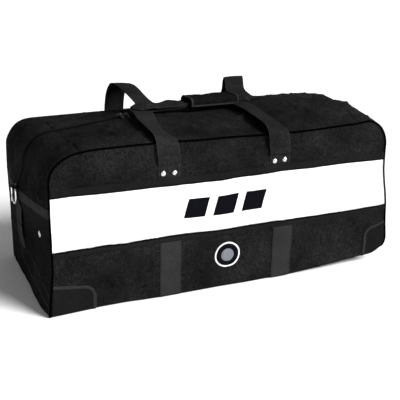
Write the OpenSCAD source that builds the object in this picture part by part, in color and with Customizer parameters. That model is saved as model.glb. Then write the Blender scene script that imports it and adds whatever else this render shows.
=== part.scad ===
// Hockey equipment bag, loaded and standing on its base.
// Frame: millimetres, +Z up, +X along the length, the front face towards -Y.
// The origin is the centre of the footprint, on the surface the bag stands on.

/* [Body] */
// Length between the two end seams
bag_len = 914; // [860:2:980]
// Depth between the faces of the front and back panels
bag_dep = 430; // [400:2:480]
// Height of the front and back panels
bag_ht = 390; // [370:2:430]
// Radius of the upper corners of the front and back panels
corner_r = 65; // [50:1:75]
// Thickness of the lined cloth
wall = 2.5; // [2:0.5:3]
// Rise of the top and upper ends from the side seams to the zip
crown = 24; // [16:1:30]
// Rise of the lower end panels at the middle
end_bulge = 16; // [8:1:20]

/* [Stripe and trims] */
// Lower edge of the light stripe
stripe_lo = 157; // [140:1:170]
// Upper edge of the light stripe
stripe_hi = 286; // [270:1:300]
// Width of the trim above the stripe
trim_hi_w = 19; // [12:1:20]
// Width of the trim below the stripe
trim_lo_w = 15; // [10:1:20]
// Width of the welt round the front and back panels
piping_w = 4.5; // [3:0.5:6]

/* [Webbing and handles] */
// Distance of the handle legs from the middle
strap_x = 152; // [140:1:170]
// Width of the handle webbing
web_w = 56; // [45:1:60]
// Thickness of the handle webbing
web_t = 2.4; // [1.5:0.1:3]
// Length of the wrap that holds both handles
grip_len = 149; // [120:1:150]
// Offset of the wrap's middle from the bag's middle
grip_x = 47; // [30:1:47]

/* [Ends] */
// Height of the middle of the end band
band_z = 248; // [240:1:255]
// Width of the end band
band_w = 25; // [20:1:30]
// Width of the end grab handle
grab_w = 50; // [38:1:52]
// Radius of the D-ring wire
ring_wire_r = 2.6; // [2:0.1:3]
// Radius of the D-ring bow, at the middle of the wire
ring_r = 22; // [20:1:25]

/* [Fasteners] */
// Radius of a rivet head
rivet_head_r = 5.4; // [4:0.1:6]
// Radius of a rivet shank
rivet_r = 2; // [1.5:0.1:2.5]
// Distance between the two rivets of a handle leg
rivet_gap = 30; // [24:1:34]
// Height of the rivets
rivet_z = 317; // [314:1:330]
// Radius of the hole in a vent eyelet
eyelet_r = 4; // [3:0.5:5]

/* [Zip] */
// Half width of the zip teeth
chain_h = 4; // [3:0.5:5]
// Half width of the zip tape
tape_h = 18; // [14:1:20]
// Where the left slider stands when the bag is shut
slider_l_x = -208; // [-214:1:-206]
// Where the right slider stands when the bag is shut
slider_r_x = -191; // [-191:1:-189]

/* [Hidden] */
$fn = 64;
hx = bag_len/2;
hy = bag_dep/2;
ht = bag_ht;
R = corner_r;
hi = hy - wall;                 // inner face of the front and back panels
cx = hx - R;                    // centre of the corner arcs
cz = ht - R;
cut = cx - 14;                  // where the opening top ends
eps = 0.1;
band_lo = band_z - band_w/2;
band_hi = band_z + band_w/2;
ridge = ht + crown;             // highest line of the top, at the zip
ring_x = hx + crown + 7;        // plane of the D-ring
ring_z = band_hi - 0.5;         // bar of the D-ring
ring_bar_r = ring_wire_r - 0.15; // the bar, a little thinner than the bow
ring_drop = 17;
eyelet_y = 150;
eyelet_z = 186;
patch_w = 80;
patch_h = 75;
patch_r = 35;
bind_w = 8;

// Rise of the gusset surface at a distance h from the zip
function rise(h) = crown*(1 - h/hi);

// Section of a strip of the gusset between h0 and h1 from the zip: [radius, h]
function strip(h0, h1, tin, tout) = [
  [R + rise(h0) + tout, h0], [R + rise(h1) + tout, h1],
  [R + rise(h1) - tin, h1], [R + rise(h0) - tin, h0]];

// A ribbon of thickness t along a path of points in a plane
function unit2(v) = v/norm(v);
function nrm2(v) = [-v[1], v[0]];
function dirs(p) = [for (i = [0:len(p) - 1])
  i == 0 ? unit2(p[1] - p[0])
  : i == len(p) - 1 ? unit2(p[i] - p[i - 1])
  : unit2(unit2(p[i] - p[i - 1]) + unit2(p[i + 1] - p[i]))];
function ribbon(p, t) = let (d = dirs(p)) concat(
  [for (i = [0:len(p) - 1]) p[i] + nrm2(d[i])*t/2],
  [for (i = [len(p) - 1:-1:0]) p[i] - nrm2(d[i])*t/2]);

// ---- helpers --------------------------------------------------------------

// Box given by its lowest and highest corners
module bx(a, b) { translate(a) cube(b - a); }

// Both sides of the bag, front and back
module back() { mirror([0, 1, 0]) children(); }
module left() { mirror([1, 0, 0]) children(); }

// Block with the outline of the front panel, seen along Y, inset by d
module outline(y0, y1, d) {
  r = R - d;
  bx([-(hx - d), y0, -1], [hx - d, y1, cz]);
  bx([-cx, y0, -1], [cx, y1, ht - d]);
  for (s = [-1, 1])
    translate([s*cx, y0, cz]) rotate([-90, 0, 0]) cylinder(r = r, h = y1 - y0, $fn = 96);
}

// Strip of gusset on the right end: up the end, round the corner, and along
// the top as far as the cut
module gusset_strip(h0, h1, tin, tout, z0) {
  s = strip(h0, h1, tin, tout);
  translate([cx, 0, z0]) linear_extrude(cz - z0)
    polygon([for (p = s) [p[0], -p[1]]]);
  translate([cx, 0, cz]) rotate([90, 0, 0]) rotate_extrude(angle = 90, $fn = 96)
    polygon(s);
  translate([cut, 0, cz]) rotate([90, 0, 90]) linear_extrude(cx - cut)
    polygon([for (p = s) [-p[1], p[0]]]);
}

// The same strip along the opening part of the top
module top_strip(h0, h1, tin, tout) {
  s = strip(h0, h1, tin, tout);
  translate([-(cut - 1), 0, cz]) rotate([90, 0, 90]) linear_extrude(2*(cut - 1))
    polygon([for (p = s) [-p[1], p[0]]]);
}

// ---- shell ----------------------------------------------------------------

module bottom_panel() { color([0.10, 0.10, 0.11])
  linear_extrude(wall) polygon([
    [-hx, -hy], [hx, -hy], [hx, -hi], [hx + end_bulge, 0], [hx, hi], [hx, hy],
    [-hx, hy], [-hx, hi], [-hx - end_bulge, 0], [-hx, -hi]]);
}

module base_board() { color([0.16, 0.16, 0.17])
  bx([-(hx - 12), -(hi - 6), wall + eps], [hx - 12, hi - 6, wall + 5]);
}

module lower_panel() { bx([-hx, -hy, wall], [hx, -hi, stripe_lo]); }
module stripe_panel() { bx([-hx, -hy, stripe_lo], [hx, -hi, stripe_hi]); }
module upper_panel() {
  difference() {
    intersection() {
      outline(-hy, -hi, 0);
      bx([-hx - 1, -hy - 1, stripe_hi], [hx + 1, -hi + 1, ht + 1]);
    }
    rivet_holes();
  }
}
module front_lower_panel() { color([0.11, 0.11, 0.12]) lower_panel(); }
module front_stripe_panel() { color([0.93, 0.93, 0.92]) stripe_panel(); }
module front_upper_panel() { color([0.11, 0.11, 0.12]) upper_panel(); }
module back_lower_panel() { color([0.11, 0.11, 0.12]) back() lower_panel(); }
module back_stripe_panel() { color([0.93, 0.93, 0.92]) back() stripe_panel(); }
module back_upper_panel() { color([0.11, 0.11, 0.12]) back() upper_panel(); }

// Lower end panel, with a hole for each vent eyelet
module end_panel() {
  difference() {
    translate([0, 0, wall]) linear_extrude(band_lo - wall - eps) polygon([
      [hx, -hi], [hx + end_bulge, 0], [hx, hi],
      [hx - wall, hi], [hx + end_bulge - wall, 0], [hx - wall, -hi]]);
    for (s = [-1, 1]) at_eyelet(s)
      translate([0, 0, -8]) cylinder(r = eyelet_r + 1.3, h = 16);
  }
}
module right_end_panel() { color([0.10, 0.10, 0.11]) end_panel(); }
module left_end_panel() { color([0.10, 0.10, 0.11]) left() end_panel(); }

// Upper end and top corner, one half on each side of the zip
module gusset_half() { gusset_strip(tape_h, hi, wall, 0, band_lo); }
module right_gusset_front() { color([0.12, 0.12, 0.13]) gusset_half(); }
module right_gusset_back() { color([0.12, 0.12, 0.13]) back() gusset_half(); }
module left_gusset_front() { color([0.12, 0.12, 0.13]) left() gusset_half(); }
module left_gusset_back() { color([0.12, 0.12, 0.13]) left() back() gusset_half(); }

// Welt round the edge of a panel, open at the base
module piping() {
  intersection() {
    difference() {
      outline(-hy - 3, -hy, 0);
      outline(-hy - 4, -hy + 1, piping_w);
    }
    bx([-hx - 1, -hy - 5, 1], [hx + 1, -hy + 2, ht + 1]);
  }
}
module piping_front() { color([0.05, 0.05, 0.06]) piping(); }
module piping_back() { color([0.05, 0.05, 0.06]) back() piping(); }

// Band of webbing across the end, over the foot of the zip
module end_band() {
  translate([0, 0, band_lo]) linear_extrude(band_w) polygon([
    [hx + 2, -hi], [hx + crown + 2, 0], [hx + 2, hi],
    [hx + 0.05, hi], [hx + crown + 0.05, 0], [hx + 0.05, -hi]]);
}
module end_band_right() { color([0.20, 0.20, 0.21]) end_band(); }
module end_band_left() { color([0.20, 0.20, 0.21]) left() end_band(); }

// Trims above and below the stripe
module trim(z0, z1) { bx([-(hx - piping_w), -hy - 2, z0], [hx - piping_w, -hy, z1]); }
module trim_upper_front() { color([0.22, 0.22, 0.23]) trim(stripe_hi, stripe_hi + trim_hi_w); }
module trim_upper_back() { color([0.22, 0.22, 0.23]) back() trim(stripe_hi, stripe_hi + trim_hi_w); }
module trim_lower_front() { color([0.22, 0.22, 0.23]) trim(stripe_lo - trim_lo_w, stripe_lo); }
module trim_lower_back() { color([0.22, 0.22, 0.23]) back() trim(stripe_lo - trim_lo_w, stripe_lo); }

// Webbing below the stripe, under each handle leg
module base_webbing() {
  for (s = [-1, 1])
    bx([s*strap_x - web_w/2, -hy - 2, 3], [s*strap_x + web_w/2, -hy, stripe_lo - trim_lo_w - eps]);
}
module base_webbing_front() { color([0.20, 0.20, 0.21]) base_webbing(); }
module base_webbing_back() { color([0.20, 0.20, 0.21]) back() base_webbing(); }

// Wear patch at a lower corner; d insets its top and inner sides
module patch_shape(y0, y1, d) {
  x1 = hx - piping_w - eps;
  x0 = hx - piping_w - patch_w + d;
  z1 = patch_h - d;
  r = patch_r - d;
  bx([x0 + r, y0, 1.5], [x1, y1, z1]);
  bx([x0, y0, 1.5], [x0 + r + 1, y1, z1 - r]);
  translate([x0 + r, y0, z1 - r]) rotate([-90, 0, 0]) cylinder(r = r, h = y1 - y0);
}
module corner_patches() {
  for (m = [0, 1]) mirror([m, 0, 0]) patch_shape(-hy - 1.2, -hy, bind_w + eps);
}
module corner_patches_front() { color([0.09, 0.09, 0.10]) corner_patches(); }
module corner_patches_back() { color([0.09, 0.09, 0.10]) back() corner_patches(); }
module patch_binding() {
  for (m = [0, 1]) mirror([m, 0, 0]) difference() {
    patch_shape(-hy - 2.2, -hy, 0);
    patch_shape(-hy - 3, -hy + 1, bind_w);
    bx([hx - piping_w - patch_w + bind_w, -hy - 3, 0], [hx, -hy + 1, 10]);
  }
}
module patch_binding_front() { color([0.19, 0.19, 0.20]) patch_binding(); }
module patch_binding_back() { color([0.19, 0.19, 0.20]) back() patch_binding(); }

// Vertical part of a handle leg, riveted to the panel
module handle_leg() {
  difference() {
    bx([strap_x - web_w/2, -hy - web_t, stripe_hi + trim_hi_w + eps],
       [strap_x + web_w/2, -hy, ht - piping_w - 1]);
    rivet_holes();
  }
}
module handle_leg_front_right() { color([0.17, 0.17, 0.18]) handle_leg(); }
module handle_leg_front_left() { color([0.17, 0.17, 0.18]) left() handle_leg(); }
module handle_leg_back_right() { color([0.17, 0.17, 0.18]) back() handle_leg(); }
module handle_leg_back_left() { color([0.17, 0.17, 0.18]) left() back() handle_leg(); }

// Rivets, two to a leg
module at_rivets() {
  for (s = [-1, 1], k = [-1, 1])
    translate([s*strap_x + k*rivet_gap/2, -hy - web_t, rivet_z]) rotate([90, 0, 0]) children();
}
module rivet_holes() { at_rivets() translate([0, 0, -8]) cylinder(r = rivet_r + 0.1, h = 12); }
module rivet() {
  translate([0, 0, eps]) cylinder(r1 = rivet_head_r, r2 = rivet_head_r - 1.6, h = 2.2);
  translate([0, 0, -web_t - wall - 2]) cylinder(r = rivet_r, h = web_t + wall + 2 + 0.2);
  translate([0, 0, -web_t - wall - 2]) cylinder(r = rivet_r + 1, h = 0.8);
}
module washer() {
  translate([0, 0, -web_t - wall - 1.1]) difference() {
    cylinder(r = rivet_head_r - 0.4, h = 1);
    translate([0, 0, -1]) cylinder(r = rivet_r + 0.1, h = 3);
  }
}
module rivets() { color([0.85, 0.86, 0.88]) { at_rivets() rivet(); back() at_rivets() rivet(); } }
module rivet_washers() { color([0.75, 0.76, 0.78]) { at_rivets() washer(); back() at_rivets() washer(); } }

// Vent eyelets, two in each end
module at_eyelet(s) {
  translate([hx + end_bulge*(1 - eyelet_y/hi), s*eyelet_y, eyelet_z])
    rotate([0, 0, s*atan(end_bulge/hi)]) rotate([0, 90, 0]) children();
}
module eyelet() {
  difference() {
    union() {
      translate([0, 0, 0.15]) cylinder(r = eyelet_r + 4, h = 1.3);
      translate([0, 0, -wall - 0.2]) cylinder(r = eyelet_r + 1.1, h = wall + 0.6);
      translate([0, 0, -wall - 1.2]) cylinder(r = eyelet_r + 3.5, h = 1);
    }
    translate([0, 0, -wall - 3]) cylinder(r = eyelet_r, h = wall + 8);
  }
}
module vent_eyelets() { color([0.80, 0.81, 0.83])
  for (m = [0, 1]) mirror([m, 0, 0]) for (s = [-1, 1]) at_eyelet(s) eyelet();
}

// Webbing tab that holds the D-ring's bar
module d_ring_tab() {
  difference() {
    union() {
      translate([ring_x, 16.5, ring_z]) rotate([90, 0, 0]) cylinder(r = 4.2, h = 33);
      bx([hx + crown + 2 + eps, -16.5, band_lo + 2], [ring_x - 2.8, 16.5, ring_z]);
    }
    translate([ring_x, 20, ring_z]) rotate([90, 0, 0]) cylinder(r = ring_bar_r + 0.08, h = 40);
  }
}
module d_ring_tab_right() { color([0.18, 0.18, 0.19]) d_ring_tab(); }
module d_ring_tab_left() { color([0.18, 0.18, 0.19]) left() d_ring_tab(); }

// Sewn ends of the two grab handles
grab_x = hx + end_bulge + 5.5;
module grab_tab_pair() {
  bx([hx + end_bulge + eps, -grab_w/2, 208], [grab_x + 2.4, grab_w/2, band_lo - 1]);
  bx([hx + end_bulge + eps, -grab_w/2, 108], [grab_x + 2.4, grab_w/2, 130]);
}
module grab_tabs() { color([0.18, 0.18, 0.19]) { grab_tab_pair(); left() grab_tab_pair(); } }

// Fixed lengths of zip on the ends, each side of the parting line
module zip_end() {
  for (m = [0, 1]) mirror([0, m, 0]) {
    gusset_strip(chain_h, tape_h, 1.8, -0.6, band_hi + 0.5);
    gusset_strip(0.2, chain_h - eps, 2.2, 1.2, band_hi + 0.5);
  }
}
module zip_end_right() { color([0.06, 0.06, 0.07]) zip_end(); }
module zip_end_left() { color([0.06, 0.06, 0.07]) left() zip_end(); }
module zip_stop() { bx([hx + crown + 1.3, -5, ring_z + 6], [hx + crown + 3, 5, ring_z + 10]); }
module zip_stops() { color([0.25, 0.25, 0.26]) { zip_stop(); left() zip_stop(); } }

// ---- opening top ----------------------------------------------------------

module top_flap() { top_strip(tape_h, hi - 3.5, wall, 0); }
module top_flap_front() { color([0.12, 0.12, 0.13]) top_flap(); }
module top_flap_back() { color([0.12, 0.12, 0.13]) back() top_flap(); }
module zip_tape() { top_strip(chain_h, tape_h, 1.8, -0.6); }
module zip_tape_front() { color([0.06, 0.06, 0.07]) zip_tape(); }
module zip_tape_back() { color([0.06, 0.06, 0.07]) back() zip_tape(); }
// The two rows stand 1.9 mm off the middle, or they would run through each other
// as the rigid halves turn down past level
module zip_teeth() { top_strip(1.9, chain_h - eps, 2.2, 1.2); }
module zip_teeth_front() { color([0.08, 0.08, 0.09]) zip_teeth(); }
module zip_teeth_back() { color([0.08, 0.08, 0.09]) back() zip_teeth(); }

// ---- sliders --------------------------------------------------------------

wing_z = ridge + 1.7;
bail_z = wing_z + 5.3;
module slider(x) {
  translate([x, 0, 0]) {
    bx([-8, -6.5, wing_z], [8, 6.5, wing_z + 2.4]);
    for (s = [-1, 1]) bx([s*5.5 - 0.9, -1.5, wing_z + 2.4], [s*5.5 + 0.9, 1.5, bail_z + 1.6]);
    translate([-6, 0, bail_z]) rotate([0, 90, 0]) cylinder(r = 1.2, h = 12, $fn = 32);
  }
}
module slider_left() { color([0.30, 0.30, 0.32]) slider(slider_l_x); }
module slider_right() { color([0.30, 0.30, 0.32]) slider(slider_r_x); }
module pull(x) {
  translate([x - 3.5, 0, bail_z]) rotate([10, 0, 0]) difference() {
    union() {
      rotate([0, 90, 0]) cylinder(r = 2.4, h = 7, $fn = 32);
      bx([0, -32, -0.9], [7, -1.5, 0.9]);
    }
    translate([-1, 0, 0]) rotate([0, 90, 0]) cylinder(r = 1.28, h = 9, $fn = 32);
  }
}
module pull_left() { color([0.62, 0.63, 0.65]) pull(slider_l_x); }
module pull_right() { color([0.62, 0.63, 0.65]) pull(slider_r_x); }

// ---- carry handles --------------------------------------------------------

run_f = ridge + 19;             // middle of the front handle where it meets the wrap
run_b = run_f + 4.7;            // middle of the back handle, lying on it
path_f = [[-(hy + 2.5), ht + 3], [-(hy - 3), ht + 12], [-(hy - 25), ht + 21],
          [-127, ridge + 7], [-65, ridge + 15], [-20, run_f]];
// Back handle: an open arch at the left, a standing fold at the right
path_bl = [[hy + 2.5, ht + 3], [hy, ht + 20], [209, ht + 38], [198, ht + 54], [184, ht + 67],
           [166, ht + 74.5], [148, ht + 77], [128, ht + 76], [105, ht + 69], [80, ht + 61],
           [50, ht + 54], [22, run_b]];
path_br = [[hy + 2.5, ht + 3], [hy - 3, ht + 12.5], [199, ht + 19], [175, ht + 24], [150, ht + 30],
           [130, ht + 40], [115, ht + 56], [106, ht + 70], [100.5, ht + 78], [95, ht + 80.5],
           [89.5, ht + 78], [86, ht + 70], [82, ht + 60], [74, ht + 52.5], [60, ht + 48.5], [22, run_b]];
module loop(path_l, path_r, zr) {
  for (m = [-1, 1])
    translate([m*strap_x - web_w/2, 0, 0]) rotate([90, 0, 90]) linear_extrude(web_w)
      polygon(ribbon(m < 0 ? path_l : path_r, web_t));
  bx([-strap_x - web_w/2, -26, zr - web_t/2], [strap_x + web_w/2, 26, zr + web_t/2]);
}
module handle_loop_front() { color([0.17, 0.17, 0.18]) loop(path_f, path_f, run_f); }
module handle_loop_back() { color([0.19, 0.19, 0.20]) loop(path_bl, path_br, run_b); }

// Wrap round both handles: a trough, and a flap that closes over it
gx0 = grip_x - grip_len/2;
gx1 = grip_x + grip_len/2;
grip_lo = ridge + 10.5;
grip_hi = ridge + 35.5;
module grip_base() { color([0.15, 0.15, 0.16]) {
  bx([gx0, -28, grip_lo], [gx1, 32.5, grip_lo + 3]);
  bx([gx0, 29.5, grip_lo], [gx1, 32.5, grip_hi - 0.5]);
} }
module grip_flap() { color([0.15, 0.15, 0.16]) {
  bx([gx0, -32.5, grip_hi - 3], [gx1, 28.5, grip_hi]);
  bx([gx0, -32.5, grip_lo], [gx1, -29.5, grip_hi]);
} }

// ---- ends -----------------------------------------------------------------

// D-ring: a bow, and a round bar that turns in the tab
module d_ring() {
  w = ring_wire_r;
  zc = ring_z - ring_drop;
  difference() {
    union() {
      bx([ring_x - w, -ring_r - w, zc], [ring_x + w, ring_r + w, ring_z + w]);
      translate([ring_x - w, 0, zc]) rotate([0, 90, 0]) cylinder(r = ring_r + w, h = 2*w);
    }
    bx([ring_x - w - 1, -ring_r + w, zc], [ring_x + w + 1, ring_r - w, ring_z + w + 1]);
    bx([ring_x - w - 1, -ring_r - w - 1, ring_z + w], [ring_x + w + 1, ring_r + w + 1, ring_z + ring_r + 5]);
    translate([ring_x - w - 1, 0, zc]) rotate([0, 90, 0]) cylinder(r = ring_r - w, h = 2*w + 2);
  }
  translate([ring_x, ring_r, ring_z]) rotate([90, 0, 0]) cylinder(r = ring_bar_r, h = 2*ring_r);
}
module d_ring_right() { color([0.78, 0.79, 0.81]) d_ring(); }
module d_ring_left() { color([0.78, 0.79, 0.81]) left() d_ring(); }

// Middle of the grab handle, which pulls away from the end
module grab_handle() { bx([grab_x, -grab_w/2, 131.5], [grab_x + 2.4, grab_w/2, 206.5]); }
module grab_handle_right() { color([0.19, 0.19, 0.20]) grab_handle(); }
module grab_handle_left() { color([0.19, 0.19, 0.20]) left() grab_handle(); }

bottom_panel();
base_board();
front_lower_panel();
front_stripe_panel();
front_upper_panel();
back_lower_panel();
back_stripe_panel();
back_upper_panel();
left_end_panel();
right_end_panel();
left_gusset_front();
left_gusset_back();
right_gusset_front();
right_gusset_back();
piping_front();
piping_back();
end_band_left();
end_band_right();
trim_upper_front();
trim_upper_back();
trim_lower_front();
trim_lower_back();
base_webbing_front();
base_webbing_back();
corner_patches_front();
corner_patches_back();
patch_binding_front();
patch_binding_back();
handle_leg_front_left();
handle_leg_front_right();
handle_leg_back_left();
handle_leg_back_right();
rivets();
rivet_washers();
vent_eyelets();
d_ring_tab_left();
d_ring_tab_right();
grab_tabs();
zip_end_left();
zip_end_right();
zip_stops();
top_flap_front();
top_flap_back();
zip_tape_front();
zip_tape_back();
zip_teeth_front();
zip_teeth_back();
slider_left();
slider_right();
pull_left();
pull_right();
handle_loop_front();
handle_loop_back();
grip_base();
grip_flap();
d_ring_left();
d_ring_right();
grab_handle_left();
grab_handle_right();
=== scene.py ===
import math

import bmesh
import bpy
import numpy as np
from mathutils import Matrix, Vector


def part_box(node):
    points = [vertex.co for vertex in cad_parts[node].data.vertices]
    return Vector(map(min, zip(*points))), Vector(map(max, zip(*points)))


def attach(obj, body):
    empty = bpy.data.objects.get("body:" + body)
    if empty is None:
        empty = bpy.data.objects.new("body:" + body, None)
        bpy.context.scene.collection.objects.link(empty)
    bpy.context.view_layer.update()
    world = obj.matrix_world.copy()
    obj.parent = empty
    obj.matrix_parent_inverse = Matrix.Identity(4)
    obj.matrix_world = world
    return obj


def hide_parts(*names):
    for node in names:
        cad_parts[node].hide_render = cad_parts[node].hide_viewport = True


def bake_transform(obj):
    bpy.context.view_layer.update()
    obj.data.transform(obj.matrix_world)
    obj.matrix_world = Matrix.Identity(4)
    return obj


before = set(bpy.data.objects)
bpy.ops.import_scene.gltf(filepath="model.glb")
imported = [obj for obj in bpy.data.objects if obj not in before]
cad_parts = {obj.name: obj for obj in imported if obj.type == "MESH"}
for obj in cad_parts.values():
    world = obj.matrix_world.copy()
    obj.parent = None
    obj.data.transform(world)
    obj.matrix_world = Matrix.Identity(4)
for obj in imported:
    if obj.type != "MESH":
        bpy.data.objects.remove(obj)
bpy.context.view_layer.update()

# ------------------------------------------------------------------ sizes, mm
HX, HY, HT = 457.0, 215.0, 390.0
R = 65.0
HI = 212.5
CX, CZ = HX - R, HT - R
S_TOP = CX
S_ARC = CX + R * math.pi / 2
S_END = S_ARC + CZ
STRAP_X, WEB = 152.0, 56.0
STRIPE_LO, STRIPE_HI = 157.0, 286.0
SLIDE_X = 380.4  # where the right slider stops when the mouth is open


# ------------------------------------------------------------- small helpers
def curve(xs, ys):
    """A smooth curve through the points, flat outside them (cubic Hermite)."""
    xs, ys = np.asarray(xs, float), np.asarray(ys, float)
    d = np.diff(ys) / np.diff(xs)
    m = np.zeros(len(xs))
    for i in range(1, len(xs) - 1):
        m[i] = 0 if d[i - 1] * d[i] <= 0 else 2 * d[i - 1] * d[i] / (d[i - 1] + d[i])

    def f(x):
        x = np.clip(np.asarray(x, float), xs[0], xs[-1])
        i = np.clip(np.searchsorted(xs, x) - 1, 0, len(xs) - 2)
        h = xs[i + 1] - xs[i]
        t = (x - xs[i]) / h
        return (
            (2 * t**3 - 3 * t**2 + 1) * ys[i]
            + (t**3 - 2 * t**2 + t) * h * m[i]
            + (-2 * t**3 + 3 * t**2) * ys[i + 1]
            + (t**3 - t**2) * h * m[i + 1]
        )

    return f


def smooth(t):
    t = np.clip(t, 0, 1)
    return t * t * (3 - 2 * t)


_LAT = np.random.default_rng(7).uniform(-1, 1, (32, 32, 32, 3))


def vnoise(p, size, shift=0.0):
    """Smooth vector noise, about -1 to 1, features of the given size in mm."""
    q = p / size + shift
    i = np.floor(q).astype(int)
    f = q - i
    f = f**3 * (f * (6 * f - 15) + 10)
    out = np.zeros_like(p)
    for a in (0, 1):
        for b in (0, 1):
            for c in (0, 1):
                w = (
                    (f[:, 0] if a else 1 - f[:, 0])
                    * (f[:, 1] if b else 1 - f[:, 1])
                    * (f[:, 2] if c else 1 - f[:, 2])
                )
                out += w[:, None] * _LAT[(i[:, 0] + a) % 32, (i[:, 1] + b) % 32, (i[:, 2] + c) % 32]
    return out


# ------------------------------------------------------ the bag's soft shape
# crown: how far the middle of the top and ends stands out of the side outline
crown_l = curve(
    [0, 100, 171, 208, 234, 263, 296, 329, 362, 386, 443, 480, 532, 560, 590, 612, 650, 690, 760, 820],
    [25, 26, 26, 24.8, 20.5, 17, 13, 9, 5, 3, 1.5, 4, 14, 22, 24, 17.5, 16.5, 16, 13, 10],
)
crown_r = curve(
    [0, 60, 124, 160, 204, 260, 316, 350, 381, 443, 494, 532, 560, 590, 612, 650, 690, 760, 820],
    [25, 26, 28, 32, 37, 40, 40, 38, 36, 34, 29, 22, 23, 24, 17.5, 16.5, 16, 13, 10],
)
seam_dz = curve(
    [-457, -446, -425, -400, -378, -330, -258, -184, 25, 100, 164, 230, 310, 374, 417, 446, 457],
    [-10, -9, -9, -4, 1, 7, 7, 5, 0, -4, -7, -5, -1, 2, 8, 7, 6],
)
back_dz = curve([-457, -420, -300, -100, 0, 300, 457], [-11, -6, -4, -2, 0, 0, -4])


def shift_x(x, z):
    """How far the front of the soft bag has slid to the left, more at the top."""
    t = smooth((z - 140) / 160)
    return -(7.7 + 7.2 * t + (0.034 * t - 0.01) * x) * np.clip(1 - (x / 457) ** 2, 0, 1)


def creases(u, v, mask):
    """Shallow creases, longer one way, in mm out of the cloth."""
    q = np.stack([u / 75.0, v / 34.0, np.full_like(u, 0.37)], 1)
    n = vnoise(q, 1.0, 5.0)
    a = np.clip(1 - np.abs(n[:, 0]) * 3.2, 0, 1) ** 2
    q = np.stack([(u + v) / 60.0, (v - u) / 24.0, np.full_like(u, 0.71)], 1)
    m = vnoise(q, 1.0, 11.0)
    b = np.clip(1 - np.abs(m[:, 1]) * 3.6, 0, 1) ** 2
    return (a * (0.6 + n[:, 2]) * 4.2 + b * (0.5 + m[:, 0]) * 3.0) * mask


PULLS = [  # where the cloth is drawn into long folds: from, to, half width, height
    (-391, -123, -355, -205, 6, 3.2), (-388, -88, -363, -166, 5, -2.4), (-340, -60, -318, -150, 7, 2.6), (-287, -82, -251, -167, 6, 3.2),
    (-308, -116, -280, -196, 6, 2.6), (-268, -50, -240, -120, 5, -2.4), (-28, -51, 18, -151, 7, 3.6), (-60, -70, -20, -160, 6, 2.4),
    (30, -45, 70, -120, 6, -2.6), (86, -60, 112, -150, 7, 2.8), (240, -60, 300, -170, 9, 3.0), (301, -30, 385, -60, 8, 3.0),
    (330, -90, 380, -190, 8, -2.6), (-330, 70, -290, 190, 8, 3.0), (-80, 60, -30, 180, 8, 3.0), (120, 60, 180, 170, 9, 2.8), (300, 50, 350, 180, 8, 3.0),
    (520, -60, 590, -150, 8, 2.4), (520, 70, 575, 160, 8, 2.4), (-520, -70, -575, -160, 8, 2.4), (-530, 60, -590, 150, 8, 2.4),
]  # fmt: skip


def pulls(s, y):
    h = np.zeros_like(s)
    for s0, y0, s1, y1, w, up in PULLS:
        ds, dy = s1 - s0, y1 - y0
        t = np.clip(((s - s0) * ds + (y - y0) * dy) / (ds * ds + dy * dy), 0, 1)
        r2 = (s - s0 - t * ds) ** 2 + (y - y0 - t * dy) ** 2
        h += up * (1.7 if y0 < 0 else 0.7) * np.exp(-r2 / (w * w)) * np.sin(np.pi * np.clip(t * 0.8 + 0.1, 0, 1))
    return h


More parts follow.
